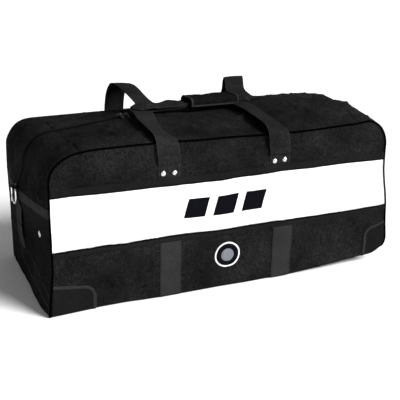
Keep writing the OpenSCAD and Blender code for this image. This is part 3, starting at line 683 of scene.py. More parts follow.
for side, f, nm in ((-1, front, "front"), (1, back, "back")):
    o = 1 if side < 0 else -1
    ride(sheet_mesh(f"cloth_{nm}_lower", low_grid(), f, ["canvas", "lining", "tape"], 2.4, out=o, rim_mat=2), "shell", f"{nm}_lower_panel", slot="canvas")
    g = panel_grid(157.0, 287.0, 25)
    g = g[np.abs(g[:, 0, 0]) <= 455.2]
    ride(sheet_mesh(f"cloth_{nm}_stripe", g, f, ["stripe", "lining"], 2.4, out=o, rim_mat=1, rim_ends=1), "shell", f"{nm}_stripe_panel", slot="stripe_cloth")
    ride(sheet_mesh(f"cloth_{nm}_upper", panel_grid(286.5, 390.0, 22, True), f, ["canvas", "lining", "tape"], 2.4, out=o, rim_mat=2), "shell", f"{nm}_upper_panel", slot="canvas")

    # trims: a thin black edge next to the stripe, then webbing
    X0, X1 = -452.5, 452.5
    up, sd = (0, 1, 0), (0, 0, 1)
    tu = sweep(f"trim_{nm}_upper_web", line((X0, 0, 297.0), (X1, 0, 297.0)), sd, up, web_profile(16.5, 2.0), f, ["trim"])
    te = sweep(f"trim_{nm}_upper_edge", line((X0, 0, 287.3), (X1, 0, 287.3)), sd, up, web_profile(3.4, 1.7), f, ["edge"])
    ride(tu, "shell", f"trim_upper_{nm}", slot="trim_webbing")
    ride(te, "shell", slot="trim_webbing")
    tl = sweep(f"trim_{nm}_lower_web", line((X0, 0, 147.6), (X1, 0, 147.6)), sd, up, web_profile(12.0, 2.0), f, ["trim"])
    tm = sweep(f"trim_{nm}_lower_edge", line((X0, 0, 155.2), (X1, 0, 155.2)), sd, up, web_profile(3.4, 1.7), f, ["edge"])
    ride(tl, "shell", f"trim_lower_{nm}", slot="trim_webbing")
    ride(tm, "shell", slot="trim_webbing")
    st = stitches(
        f"stitch_{nm}_trims",
        [line((X0, 2.0, z), (X1, 2.0, z)) for z in (303.2, 290.8, 151.6, 143.6)],
        f,
    )
    ride(st, "shell", slot="trim_webbing")

    # webbing on the lower panel and the riveted legs above
    bw = [
        sweep(f"base_web_{nm}_{k}", line((k * STRAP_X, 0, 3.0), (k * STRAP_X, 0, 141.4), 4), (1, 0, 0), up, web_profile(WEB - 1, 2.0), f, ["base_web"])
        for k in (-1, 1)
    ]
    ride(join(f"base_web_{nm}", bw), "shell", f"base_webbing_{nm}", slot="trim_webbing")
    st = stitches(
        f"stitch_{nm}_base_web",
        [line((k * STRAP_X + e, 2.0, 12), (k * STRAP_X + e, 2.0, 139)) for k in (-1, 1) for e in (-24.5, 24.5)],
        f,
    )
    ride(st, "shell", slot="trim_webbing")
    legs = []
    for k, kn in ((-1, "left"), (1, "right")):
        lg = sweep(f"leg_{nm}_{kn}", line((k * STRAP_X, 0, 305.2), (k * STRAP_X, 0, 341.0), 4), (1, 0, 0), up, web_profile(WEB, 2.4), f, ["webbing"])
        ride(lg, "shell", f"handle_leg_{nm}_{kn}", slot="handle_webbing")
        legs += [line((k * STRAP_X + e, 2.4, 309), (k * STRAP_X + e, 2.4, 338)) for e in (-24, 24)]
        legs += [line((k * STRAP_X - 24, 2.4, z), (k * STRAP_X + 24, 2.4, z)) for z in (309, 336)]
    ride(stitches(f"stitch_{nm}_legs", legs, f), "shell", slot="handle_webbing")

    # rivets: washer and domed head
    parts, wash = [], []
    for k in (-1, 1):
        for e in (-15, 15):
            c = f([[k * STRAP_X + e, 2.3, 317.0]])[0]
            c1 = f([[k * STRAP_X + e + 3, 2.3, 317.0]])[0]
            c2 = f([[k * STRAP_X + e, 2.3, 320.0]])[0]
            nrm = Vector(np.cross(c1 - c, c2 - c)).normalized() * (1 if side < 0 else -1)
            if nrm.y * side < 0:
                nrm = -nrm
            place = Matrix.Translation(Vector(c)) @ nrm.to_track_quat("Z", "Y").to_matrix().to_4x4()
            wash.append(lathe("w", [(0, 0), (5.9, 0), (5.9, 0.25), (5.5, 0.5), (3.6, 0.55)], place, ["rivet"]))
            parts.append(lathe("r", [(4.5, 0.4), (4.55, 0.9), (4.25, 1.5), (3.5, 2.1), (2.3, 2.5), (1.1, 2.65), (0, 2.7)], place, ["rivet"]))
    if side < 0:
        rivets_all, washers_all = parts, wash
    else:
        rivets_all += parts
        washers_all += wash

    # wear patches and their binding at the lower corners
    pp, bb, sts = [], [], []
    for k in (-1, 1):
        w, h, hc, r, b = (108.0, 66.0, 76.0, 34.0, 8.0) if k * side > 0 else (58.0, 93.0, 104.0, 32.0, 8.0)
        x1 = 451.5
        x0 = 452.5 - w
        # outline of the patch's inner edge, from the foot up and across
        arc = [(x0 + r - r * math.cos(a), h - r + r * math.sin(a)) for a in np.linspace(0, math.pi / 2, 12)]
        outl = np.array([(x0, 1.5), (x0, 12.0), (x0, 25.0)] + arc + [(x0 + r + 12, h + (hc - h) * 12 / (w - r)), (x1, hc)])
        pth = spline(np.stack([outl[:, 0], 0 * outl[:, 0], outl[:, 1]], 1), 3.0)
        tan = np.gradient(pth, axis=0)
        tan /= np.linalg.norm(tan, axis=1, keepdims=True)
        inw = np.cross(np.array([0, 1, 0]), tan)  # towards the corner
        if inw[0, 0] < 0:
            inw = -inw
        ctr = pth + inw * (b / 2)
        ctr[:, 0] = np.minimum(ctr[:, 0], x1)
        mx = np.array([k, 1, 1])
        bb.append(sweep("b", ctr * mx, inw * mx, (0, 1, 0), web_profile(b, 2.1), f, ["bind"]))
        sts.append((pth + inw * 2.0 + np.array([0, 2.1, 0])) * mx)
        sts.append((pth + inw * 6.2 + np.array([0, 2.1, 0])) * mx)
        # the patch itself, a grid inside the outline
        us = np.linspace(0, 1, 18)
        g = np.zeros((18, 16, 3))
        for i, u in enumerate(us):
            xx = x0 + b * 0.6 + (x1 - x0 - b * 0.6) * u
            dx = max(x0 + r - xx, 0)
            hh = h - b * 0.6 - (r - math.sqrt(max(r * r - dx * dx, 0)) if dx > 0 else 0)
            hh += max(xx - x0 - r, 0) / (w - r) * (hc - h)
            g[i, :, 0] = xx
            g[i, :, 2] = 1.5 + (hh - 1.5) * np.linspace(0, 1, 16)
        g[:, :, 1] = 1.25
        g[:, :, 0] *= k
        pp.append(sheet_mesh("p", g, f, ["patch"], 1.2, out=o * k))
    ride(join(f"patches_{nm}", pp), "shell", f"corner_patches_{nm}", slot="patch_cloth")
    ride(join(f"patch_edges_{nm}", bb), "shell", f"patch_binding_{nm}", slot="trim_webbing")
    ride(stitches(f"stitch_{nm}_patches", sts, f), "shell", slot="trim_webbing")

    # piping round the panel
    i = 2.25
    a = np.linspace(0, math.pi / 2, 16)
    ri = R - i
    left_arc = np.stack([-CX - ri * np.cos(a), 0 * a, CZ + ri * np.sin(a)], 1)
    right_arc = np.stack([CX + ri * np.sin(a), 0 * a, CZ + ri * np.cos(a)], 1)
    pth = np.concatenate([line((-HX + i, 0, 2), (-HX + i, 0, CZ - 4)), left_arc, line((-CX + 6, 0, HT - i), (CX - 6, 0, HT - i)), right_arc, line((HX - i, 0, CZ - 4), (HX - i, 0, 2))])
    tan = np.gradient(pth, axis=0)
    tan /= np.linalg.norm(tan, axis=1, keepdims=True)
    sd_ = np.cross(tan, np.array([0, 1, 0]))
    pth[:, 1] = 1.0
    pi_ = sweep(f"piping_cord_{nm}", pth, sd_, (0, 1, 0), round_profile(2.25, 12), f, ["piping"])
    ride(pi_, "shell", f"piping_{nm}", slot="piping")
    # turned seam allowance inside the piping, a row of thread
    inner = pth - sd_ * 5.5 * (1 if np.mean((pth - [0, 0, 200]) * sd_) > 0 else -1)
    inner[:, 1] = 0.15
    ride(stitches(f"stitch_{nm}_seam", [inner[3:-3]], f), "shell", slot="piping")

ride(join("rivet_heads", rivets_all), "shell", "rivets", slot="rivet_steel")
ride(join("rivet_rings", washers_all), "shell", "rivet_washers", slot="rivet_steel")

# ---------------------------------------------------------- bottom, inside
ys = np.concatenate([np.linspace(-208, 208, 44)])
g = np.zeros((len(xs_edge), len(ys), 3))
g[:, :, 0] = xs_edge[:, None]
g[:, :, 1] = ys[None, :]


def bottom_map(q):
    q = np.asarray(q, float).reshape(-1, 3).copy()
    ex = np.clip((np.abs(q[:, 0]) - 430) / 27, 0, 1)
    t = np.clip(np.abs(q[:, 1]) / HI, 0, 1)
    bulge = 10 * (0.55 * (1 - t) + 0.45 * (1 - t * t))
    q[:, 0] += np.sign(q[:, 0]) * ex * (bulge - 7)
    q[:, 2] = 0.1
    return soft(q)


ride(sheet_mesh("cloth_bottom", g, bottom_map, ["canvas", "lining"], 2.4, uv=g.reshape(-1, 3)[:, :2], out=-1), "shell", "bottom_panel", slot="canvas")

lo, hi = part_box("base_board")
lo, hi = np.array(lo) * 1000, np.array(hi) * 1000
bd = block("base_board_pad", (lo[0] + 2, lo[1] + 2, 2.9), (hi[0] - 2, hi[1] - 2, 7.5), ["board"], 1.6, 3, f=lambda q: np.where(q[:, 2:3] > -1, q + np.array([0, 0, 1.0]) * (25 * np.clip((q[:, 0:1] - 150) / 307, 0, 1) ** 1.25 * smooth((30 - q[:, 1:2]) / 230)), q), cuts=7)
ride(bd, "shell", "base_board", slot="stiffener")


# ------------------------------------------------------------- top and ends
def band_grid(s0, s1, y0, y1, ns, ny, o=0.0):
    g = np.zeros((ns, ny, 3))
    g[:, :, 0] = np.linspace(s0, s1, ns)[:, None]
    g[:, :, 1] = np.linspace(y0, y1, ny)[None, :]
    g[:, :, 2] = o
    return g


def uv_band(g):
    return g.reshape(-1, 3)[:, :2]


# lower end panels: from the floor to the band
zb = [0, 0.7, 1.7, 3.2, 5.0, 7.0, 12] + list(np.linspace(20, 250, 34))
for sx, nm in ((-1, "left"), (1, "right")):
    g = np.zeros((len(zb), 54, 3))
    g[:, :, 0] = (sx * (S_END - np.array(zb)))[:, None]
    g[:, :, 1] = np.linspace(-214.2, 214.2, 54)[None, :]
    ob = sheet_mesh(f"cloth_{nm}_end", g, band, ["canvas", "lining"], 2.4, uv=uv_band(g), out=-sx)
    ride(ob, "shell", f"{nm}_end_panel", slot="canvas")

S_BAND = S_END - 236.0
S_CUT = 378.0
MID = {-1: 160.0, 1: 146.0}
Y_TAPE = 6.6
for sx, nm in ((-1, "left"), (1, "right")):
    for sy, yn in ((-1, "front"), (1, "back")):
        g = band_grid(sx * S_BAND, sx * S_CUT, sy * (Y_TAPE - 1), sy * 214.2, 47, 30)
        ob = sheet_mesh(f"cloth_{nm}_gusset_{yn}", g, band, ["canvas", "lining", "tape"], 2.4, uv=uv_band(g), out=-sx * sy, rim_mat=2)
        ride(ob, "shell", f"{nm}_gusset_{yn}", slot="canvas")


def tape_grid(s0, s1, sy, ns):
    """Zip tape: under the teeth, then behind the cloth."""
    g = band_grid(s0, s1, 0, 1, ns, 7, -2.7)
    g[:, :, 1] = sy * np.array([0.3, 2.2, 4.0, 5.6, 9.0, 14.0, 19.0])
    g[:, :3, 2] = -1.4
    return g


def teeth_mesh(name, s0, s1, sy, f, pitch=3.2):
    """Coil teeth: small rounded blocks side by side, one row."""
    n = max(1, int(abs(s1 - s0) / pitch))
    ds = (s1 - s0) / n
    c = np.array([(-0.42, 0.35), (-0.30, 1.0), (0.30, 1.0), (0.42, 0.35)])
    verts, faces = [], []
    shift = 0.25 * ds * sy
    for i in range(n):
        sc = s0 + ds * (i + 0.5) + shift
        b = len(verts)
        for y in (0.1, 0.7, 3.2, 4.2):
            hh = {0.1: 0.55, 0.7: 1.0, 3.2: 1.0, 4.2: 0.45}[y]
            for du, dh in c:
                verts.append((sc + du * abs(ds), sy * (y - 0.45), -0.9 + 2.0 * dh * hh))
        for j in range(3):
            for k in range(3):
                a0 = b + j * 4 + k
                faces.append([a0, a0 + 1, a0 + 5, a0 + 4])
        faces.append([b + 3, b + 2, b + 1, b])
        faces.append([b + 12, b + 13, b + 14, b + 15])
    v = f(np.array(verts))
    ob = new_mesh(name, v, faces, ["teeth"], None, v[:, :2], smooth_faces=False)
    fix_normals(ob)
    return ob


# zip that runs on over the corners and down each end, fixed to the shell
for sx, nm in ((-1, "left"), (1, "right")):
    s_lo = sx * (S_END - 261.5)
    obs = []
    for sy in (-1, 1):
        g = tape_grid(s_lo, sx * S_CUT, sy, 46)
        obs.append(sheet_mesh("t", g, band, ["tape"], 1.2, uv=uv_band(g), out=-sx * sy))
    ride(join(f"zip_end_tape_{nm}", obs), "shell", slot="zip_tape")
    obs = [teeth_mesh("z", s_lo, sx * S_CUT, sy, band) for sy in (-1, 1)]
    ride(join(f"zip_end_teeth_{nm}", obs), "shell", f"zip_end_{nm}", slot="zip_teeth")
    ride(stitches(f"stitch_zip_end_{nm}", [line((s_lo, sy * e, 0.6), (sx * S_CUT, sy * e, 0.6)) for sy in (-1, 1) for e in (8.4, 11.4)], band, up=(0, 0, 1)), "shell", slot="zip_tape")

# the two halves of the mouth, each in three lengths: the zip tape, teeth and thread of the middle length hang on the
# flap, the other pieces stay where they are built
for sy, yn in ((-1, "front"), (1, "back")):
    body = f"{yn}_flap"
    for s0, s1, part in ((-S_CUT, -MID[-1], "left"), (-MID[-1], MID[1], "middle"), (MID[1], S_CUT, "right")):
        out = sy
        g = band_grid(s0, s1, sy * (Y_TAPE - 1), sy * 214.2, 34 if part != "middle" else 50, 30)
        cl = sheet_mesh(f"flap_{yn}_{part}", g, band, ["canvas", "lining", "tape"], 2.4, uv=uv_band(g), out=out, rim_mat=2)
        g = tape_grid(s0, s1, sy, 34 if part != "middle" else 50)
        tp = sheet_mesh(f"zip_tape_{yn}_{part}", g, band, ["tape"], 1.2, uv=uv_band(g), out=out)
        th = teeth_mesh(f"zip_teeth_{yn}_{part}", s0, s1, sy, band)
        sti = stitches(f"stitch_zip_{yn}_{part}", [line((s0, sy * e, 0.6), (s1, sy * e, 0.6)) for e in (8.4, 11.4)], band, up=(0, 0, 1))
        for ob, node, slot in ((cl, "top_flap_", "canvas"), (tp, "zip_tape_", "zip_tape"), (th, "zip_teeth_", "zip_teeth"), (sti, None, "zip_tape")):
            if part == "middle":
                if ob is cl:
                    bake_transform(ob)
                else:
                    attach(ob, body)
            else:
                k = -1 if part == "left" else 1
                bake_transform(ob)
            if node:
                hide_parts(node + yn)

# ------------------------------------------------------------ end hardware
band_c = S_END - 248.0
for sx, nm in ((-1, "left"), (1, "right")):
    pth = np.array([(sx * band_c, y, 0.0) for y in np.linspace(-213.5, 213.5, 70)])
    eb = sweep(f"end_webbing_{nm}", pth, (1, 0, 0), (0, 0, 1), web_profile(25.0, 2.0), band, ["end_web"])
    ride(eb, "shell", f"end_band_{nm}", slot="trim_webbing")
    ride(stitches(f"stitch_end_band_{nm}", [pth + np.array([e, 0, 2.0]) for e in (-10.3, 10.3)], band, up=(0, 0, 1)), "shell", slot="trim_webbing")

    # tab: webbing folded round the D-ring's bar
    xr, zr = 488.0, 260.0
    tabp = [(482.6, 238.0), (483.4, 246.0), (484.4, 254.0)]
    tabp += [(xr + 3.6 * math.cos(a), zr + 3.6 * math.sin(a)) for a in np.radians([200, 165, 130, 95, 60, 25, -10, -45, -80])]
    tabp += [(486.9, 252.5), (486.2, 244.0), (485.6, 238.5)]
    tp = spline(np.array([(sx * x, 0, z) for x, z in tabp]), 1.5)
    tan = np.gradient(tp, axis=0)
    tan /= np.linalg.norm(tan, axis=1, keepdims=True)
    upv = np.cross(tan, np.array([0, 1, 0]))
    ob = sweep(f"ring_tab_{nm}", tp, (0, 1, 0), upv, web_profile(33.0, 1.2) - np.array([0, 0.6]), same, ["webbing"])
    ride(ob, "shell", f"d_ring_tab_{nm}", slot="trim_webbing")

    # D-ring: straight bar and round bow, one bright wire
    a = np.radians(np.linspace(0, 180, 30))
    zc = 243.0
    pts = [(sx * xr, y, zr) for y in np.linspace(-20, 20, 12)]
    pts += [(sx * xr, 21.4, zr - 0.6), (sx * xr, 22, zr - 3)]
    pts += [(sx * xr, 22, z) for z in np.linspace(254, 245, 4)]
    pts += [(sx * xr, 22 * math.cos(t), zc - 22 * math.sin(t)) for t in a]
    pts += [(sx * xr, -22, z) for z in np.linspace(245, 254, 4)]
    pts += [(sx * xr, -22, zr - 3), (sx * xr, -21.4, zr - 0.6)]
    pts = np.array(pts)
    tan = np.roll(pts, -1, 0) - np.roll(pts, 1, 0)
    tan /= np.linalg.norm(tan, axis=1, keepdims=True)
    sdv = np.cross(tan, np.array([1.0, 0, 0]))
    ob = sweep(f"ring_wire_{nm}", pts, sdv, (1, 0, 0), round_profile(2.45, 14), same, ["chrome"], closed=True)
    ride(ob, f"{nm}_ring", f"d_ring_{nm}", slot="ring_steel")

    # grab handle: webbing sewn down at both ends, free between
    gp = [(0.7, 108.5), (0.7, 118), (1.0, 128), (2.4, 134), (3.8, 141), (4.3, 155), (4.5, 170), (4.3, 185), (3.8, 198), (2.4, 206), (1.0, 212), (0.7, 222), (0.7, 234)]
    gp = spline(np.array([(o, 0, z) for o, z in gp]), 3.0)
    b0 = np.array([band([[sx * (S_END - z), 0, 0]])[0][0] for z in gp[:, 2]])
    pth = np.stack([b0 + sx * gp[:, 0], 0 * b0, gp[:, 2]], 1)
    tan = np.gradient(pth, axis=0)
    tan /= np.linalg.norm(tan, axis=1, keepdims=True)
    upv = np.cross(tan, np.array([0, 1, 0])) * sx
    upv = upv if upv[0, 0] * sx > 0 else -upv
    z = pth[:, 2]
    piece = {}
    for part, sel in (("upper", z >= 169), ("lower", z <= 171)):
        idx = np.where(sel)[0]
        ob = sweep(f"grab_{nm}_{part}", pth[idx], (0, 1, 0), upv[idx], web_profile(48.0, 2.2), same, ["end_web"])
        if part == "upper":
            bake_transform(ob)
        else:
            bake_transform(ob)
        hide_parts(f"grab_handle_{nm}")
        if sx < 0:
            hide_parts("grab_tabs")
    rows = []
    for z0_, z1_ in ((111, 127), (214, 231)):
        for y in (-20, 20):
            rows.append([(sx * (S_END - zz), y, 2.3) for zz in np.linspace(z0_, z1_, 4)])
        for zz in (z0_, z1_):
            rows.append([(sx * (S_END - zz), y, 2.3) for y in np.linspace(-20, 20, 8)])
    ride(stitches(f"stitch_grab_{nm}", rows, band, up=(0, 0, 1)), "shell", slot="handle_webbing")

# seams of the end panels: a reinforcement with two rows of thread
rows = []
for sx in (-1, 1):
    for dz in (4.5, 8.0):
        rows.append(spline(np.array([(sx * (S_END - z - dz), y, 0.2) for y, z in [(206, 118), (120, 122), (40, 119), (-20, 114), (-99, 92), (-179, 63), (-208, 51)]], float), 5.0))
ride(stitches("stitch_ends", rows, band, up=(0, 0, 1)), "shell", slot="canvas")
# raised welts along the end seams, coloured lighter than the canvas as a painted highlight where the seams catch light
welts = []
for sx in (-1, 1):
    for yz in ([(206, 118), (120, 122), (40, 119), (-20, 114), (-99, 92), (-179, 63), (-213, 49)], [(60, 66), (10, 64), (-40, 59), (-90, 52), (-150, 40), (-190, 29), (-213, 22)]):
        pth = spline(np.array([(sx * (S_END - z), y, -0.3) for y, z in yz], float), 5.0)
        tan = np.gradient(pth, axis=0)
        tan /= np.linalg.norm(tan, axis=1, keepdims=True)
        welts.append(sweep("w", pth, np.cross(tan, np.array([0, 0, 1.0])), (0, 0, 1), round_profile(1.7, 10), band, ["welt"]))
ride(join("end_welts", welts), "shell", slot="canvas")

# vent eyelets: rolled ring on a dark disc, painted shade for the inside of the hole
obs, holes = [], []
for sx in (-1, 1):
    for y in (-150, 150):
        q = lambda s, yy, o: band([[sx * (S_END - s), yy, o]])[0]
        c = q(186.0, y, 0.2)
        e1, e2 = q(186.0, y + 4, 0.2) - c, q(190.0, y, 0.2) - c
        nrm = Vector(np.cross(e1, e2)).normalized()
        if nrm.x * sx < 0:
            nrm = -nrm
        place = Matrix.Translation(Vector(c)) @ nrm.to_track_quat("Z", "Y").to_matrix().to_4x4()
        obs.append(lathe("e", [(8.0, -0.1), (8.05, 0.35), (7.4, 1.0), (6.2, 1.4), (5.0, 1.3), (4.2, 0.8), (4.0, 0.0), (4.0, -2.6)], place, ["rivet"]))
        holes.append(lathe("h", [(0, 0.12), (4.3, 0.12)], place, ["hole"]))
ride(join("eyelet_rings", obs), "shell", "vent_eyelets", slot="eyelet_steel")
ride(join("eyelet_hole_shade_discs", holes), "shell", slot="eyelet_steel")

# zip stops at the foot of the chain
obs = []
for sx in (-1, 1):
    lo_, hi_ = sorted((sx * 481.6, sx * 484.0))
    obs.append(block("s", (lo_, -5, 265.5), (hi_, 5, 270.5), ["zipmetal"], 0.7))
ride(join("zip_stop_clips", obs), "shell", "zip_stops", slot="zip_metal")

# ------------------------------------------------------------------- zips
for x, nm, k in ((-208.0, "left", -1), (-191.0, "right", 1)):
    zc = 415.7
    body = [
        block("a", (x - 7.6, -6.2, zc), (x + 7.6, 6.2, zc + 2.4), ["zipmetal"], 1.0),
        block("a2", (x - 4.5, -2.2, zc + 1.8), (x + 4.5, 2.2, zc + 3.6), ["zipmetal"], 0.8),
    ]
    arch = spline(np.array([(x - 6.2, 0, zc + 1.8), (x - 6.2, 0, 420.4), (x - 4.6, 0, 422.1), (x, 0, 422.4), (x + 4.6, 0, 422.1), (x + 6.2, 0, 420.4), (x + 6.2, 0, zc + 1.8)]), 0.9)
    tan = np.gradient(arch, axis=0)
    tan /= np.linalg.norm(tan, axis=1, keepdims=True)
    body.append(sweep("a3", arch, (0, 1, 0), np.cross(tan, np.array([0, 1.0, 0])), round_profile(1.3, 8, 0.8), same, ["zipmetal"]))
    ride(join(f"slider_body_{nm}", body), f"{nm}_slider", f"slider_{nm}", slot="zip_metal")
    # pull: an eye and a flat tapered tongue
    ca, sa = math.cos(math.radians(10)), math.sin(math.radians(10))

    def tilt(q, x=x):
        q = np.asarray(q, float).reshape(-1, 3)
        return np.stack([x + q[:, 0], q[:, 1] * ca, 421.0 + q[:, 1] * sa + q[:, 2] * ca], 1)

    eye = np.array([(0.0, 2.5 * math.cos(t), 2.1 * math.sin(t)) for t in np.linspace(0, 2 * math.pi, 20, endpoint=False)])
    tan = np.roll(eye, -1, 0) - np.roll(eye, 1, 0)
    tan /= np.linalg.norm(tan, axis=1, keepdims=True)
    pl = [sweep("e", eye, np.cross(tan, np.array([1.0, 0, 0])), (1, 0, 0), web_profile(1.0, 6.0, 0.4) - np.array([0, 3.0]), tilt, ["zipmetal"], closed=True)]
    tongue = np.array([(0, y, 0) for y in np.linspace(-2.2, -31.5, 16)])
    wide = np.interp(tongue[:, 1], [-31.5, -30, -24, -10, -2.2], [0.55, 0.9, 1.0, 0.78, 0.7])
    pr = web_profile(7.0, 1.6, 0.6) - np.array([0, 0.8])
    pl.append(sweep("t", tongue, np.stack([wide, 0 * wide, 0 * wide], 1), (0, 0, 1), pr, tilt, ["zipmetal"]))
    ride(join(f"pull_tongue_{nm}", pl), f"{nm}_pull", f"pull_{nm}", slot="pull_metal")

# ---------------------------------------------------------------- handles


def handle(nm, sy, z_run, legs):
    """Two upper legs that fold over into one run along the zip, wrapped by the grip.
    A leg is a list of (x offset, y, z, how much higher its left edge is) up from the rivets."""
    f = front if sy < 0 else back
    prof = web_profile(WEB, 2.4)
    kk = len(prof)
    for k, kn in ((-1, "left"), (1, "right")):
        foot = [f([[k * STRAP_X, 0.0, zz]])[0] for zz in (334.0, 340.0)]
        x0 = foot[1][0]
        pts = [[*foot[0], 0.0], [*foot[1], 0.0]]
        pts += [[x0 + dx * (1 if sy < 0 else 1), sy * y, z, t] for dx, y, z, t in legs[kn]]
        pth4 = spline(np.array(pts, float), 4.0)
        pth, tw = pth4[:, :3], pth4[:, 3]
        n = len(pth)
        tan = np.gradient(pth, axis=0)
        tan /= np.linalg.norm(tan, axis=1, keepdims=True)
        sd = np.stack([np.ones(n), np.zeros(n), -tw / WEB], 1)
        sd -= tan * np.sum(sd * tan, axis=1, keepdims=True)
        sd /= np.linalg.norm(sd, axis=1, keepdims=True)
        up = np.cross(sd, tan)
        if up[1, 1] * sy < 0:
            up = -up
        # webbing cups a little across its width
        cup = 1.2 * (prof[:, 0] / 28.0) ** 2
        v = pth[:, None, :] + prof[None, :, 0, None] * sd[:, None, :] + (prof[None, :, 1] - cup[None, :] * smooth((np.arange(n) - 4) / 8.0)[:, None])[:, :, None] * up[:, None, :]
        verts = v.reshape(-1, 3)
        faces = []
        for i in range(n - 1):
            for j in range(kk):
                j2 = (j + 1) % kk
                faces.append([i * kk + j, i * kk + j2, (i + 1) * kk + j2, (i + 1) * kk + j])
        faces += [list(range(kk))[::-1], [(n - 1) * kk + j for j in range(kk)]]
        ln = np.concatenate([[0], np.cumsum(np.linalg.norm(np.diff(pth, axis=0), axis=1))])
        ob = new_mesh(f"strap_{nm}_{kn}", verts, faces, ["webbing"], None, np.stack([np.repeat(ln, kk), np.tile(prof[:, 0], n)], 1))
        fix_normals(ob)
        rows = []
        for e in (-25.4, 25.4):
            rows.append(pth[2:-6] + sd[2:-6] * e + up[2:-6] * 1.5)
        parts = [ob] + [stitches("s", [r_], same, up=tuple(np.mean(up, axis=0))) for r_ in rows]
        for o_ in parts:
            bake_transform(o_)
        for i_, o_ in enumerate(parts[1:]):
            o_.name = f"stitch_strap_{nm}_{kn}_{i_}"
        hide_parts(f"handle_loop_{nm}")
    # the run: flat inside the wrap; outside it the back one bunches up over the front one
    xs = np.linspace(-180, 180, 121)
    prof = web_profile(52.0, 2.4)
    kk = len(prof)
    n = len(xs)
    yy = np.tile(prof[:, 0], (n, 1))
    nose = 20 * (1 - np.sqrt(np.maximum(1 - (yy / 26.5) ** 2, 0)))
    far = np.where(xs[:, None] < 0, 178.0 - nose, 164.0 - nose)
    xx = xs[:, None] / 180.0 * far
    out = smooth((np.abs(xx - 47) - 78) / 30)
    tip = smooth((np.abs(xx) - (far - 24)) / 24)
    if sy > 0:
        wide = 1 + 0.07 * out
        drop = 15 - 6 * smooth((np.abs(xx) - 108) / 16)
        bunch = 5.5 - drop * (yy / 26.0) ** 2 - 8 * tip + 1.9 * np.sin(xx / 13.0 + yy / 15.0) + 1.2 * np.sin(xx / 7.5 - yy / 9.0)
    else:
        wide = 1 - 0.16 * out
        bunch = -4.0 - 3 * (yy / 26.0) ** 2 + 0.8 * np.sin(xx / 19.0 + yy / 18.0)
    zz = z_run + np.tile(prof[:, 1], (n, 1)) + out * bunch
    if sy > 0:
        zz = np.where(out > 0.5, np.maximum(zz, 431.8 + prof[None, :, 1]), zz)
    v = np.stack([xx, yy * wide, zz], -1)
    faces = []
    for i in range(n - 1):
        for j in range(kk):
            j2 = (j + 1) % kk
            faces.append([i * kk + j, i * kk + j2, (i + 1) * kk + j2, (i + 1) * kk + j])
    faces += [list(range(kk))[::-1], [(n - 1) * kk + j for j in range(kk)]]
    ob = new_mesh(f"strap_{nm}_run", v.reshape(-1, 3), faces, ["webbing"], None, np.stack([np.repeat(xs, kk), np.tile(prof[:, 0], n)], 1))
    fix_normals(ob)
    ride(ob, "carry_handles", f"handle_loop_{nm}", slot="handle_webbing")


handle(
    "front",
    -1,
    431.6,
    {
        "left": [(-1, 219.5, 352, 1), (-3, 221.5, 366, 3), (-5, 222, 380, 6), (-6, 218, 393, 10), (-7, 208, 401.5, 14), (-8, 190, 406.5, 17), (-9, 160, 410.5, 19), (-9, 127, 415, 19), (-8, 95, 420, 17), (-2, 65, 424, 14), (4, 32, 427.4, 8), (7, 0, 428.0, 2), (7, -16, 427.6, 0)],
        "right": [(-1, 220, 352, 1), (-4, 223, 366, 3), (-6, 223.5, 380, 6), (-8, 219.5, 393, 9), (-9, 209, 401, 12), (-10, 190, 406.5, 13), (-11, 160, 411.5, 14), (-12, 127, 416.5, 13), (-13, 95, 421.5, 11), (-14, 65, 425, 8), (-15, 30, 427.6, 4), (-16, 0, 428.0, 0), (-16, -16, 427.6, 0)],
    },
)
handle(
    "back",
    1,
    436.6,
    {
        "left": [(0, 219.5, 360, 0), (0, 221, 380, 0), (0, 219.5, 396, 0), (0, 215, 412, 0), (0, 208, 429, 0), (0, 197, 445, 1), (0, 183, 458, 2), (0, 166, 468, 4), (1, 148, 470.5, 6), (4, 128, 469.5, 8), (7, 105, 464, 10), (10, 80, 456, 12), (13, 50, 447.5, 12), (15, 20, 441, 8), (15, -18, 436.2, 0)],
        "right": [(0, 219.5, 360, 0), (0, 220.5, 380, 0), (0, 217, 394, 0), (0, 208, 402, 0), (0, 195, 405.5, 0), (0, 175, 409, 0), (1, 150, 413.5, 0), (2, 130, 419, 0), (3, 115, 429, 0), (4, 107.5, 445, 0), (4, 104.5, 461, 0), (5, 101.5, 473, 0), (5, 97.5, 477, 0), (5, 93, 474.5, 0), (5, 89.5, 463, 0), (4, 84, 450, 1), (3, 74, 443, 1), (0, 58, 440, 0), (-6, 20, 437.6, 0), (-10, -18, 436.2, 0)],
    },
)

# -------------------------------------------------------------- grip wrap
GX0, GX1 = -27.5, 114.0
GLO, GHI = 424.5, 449.5


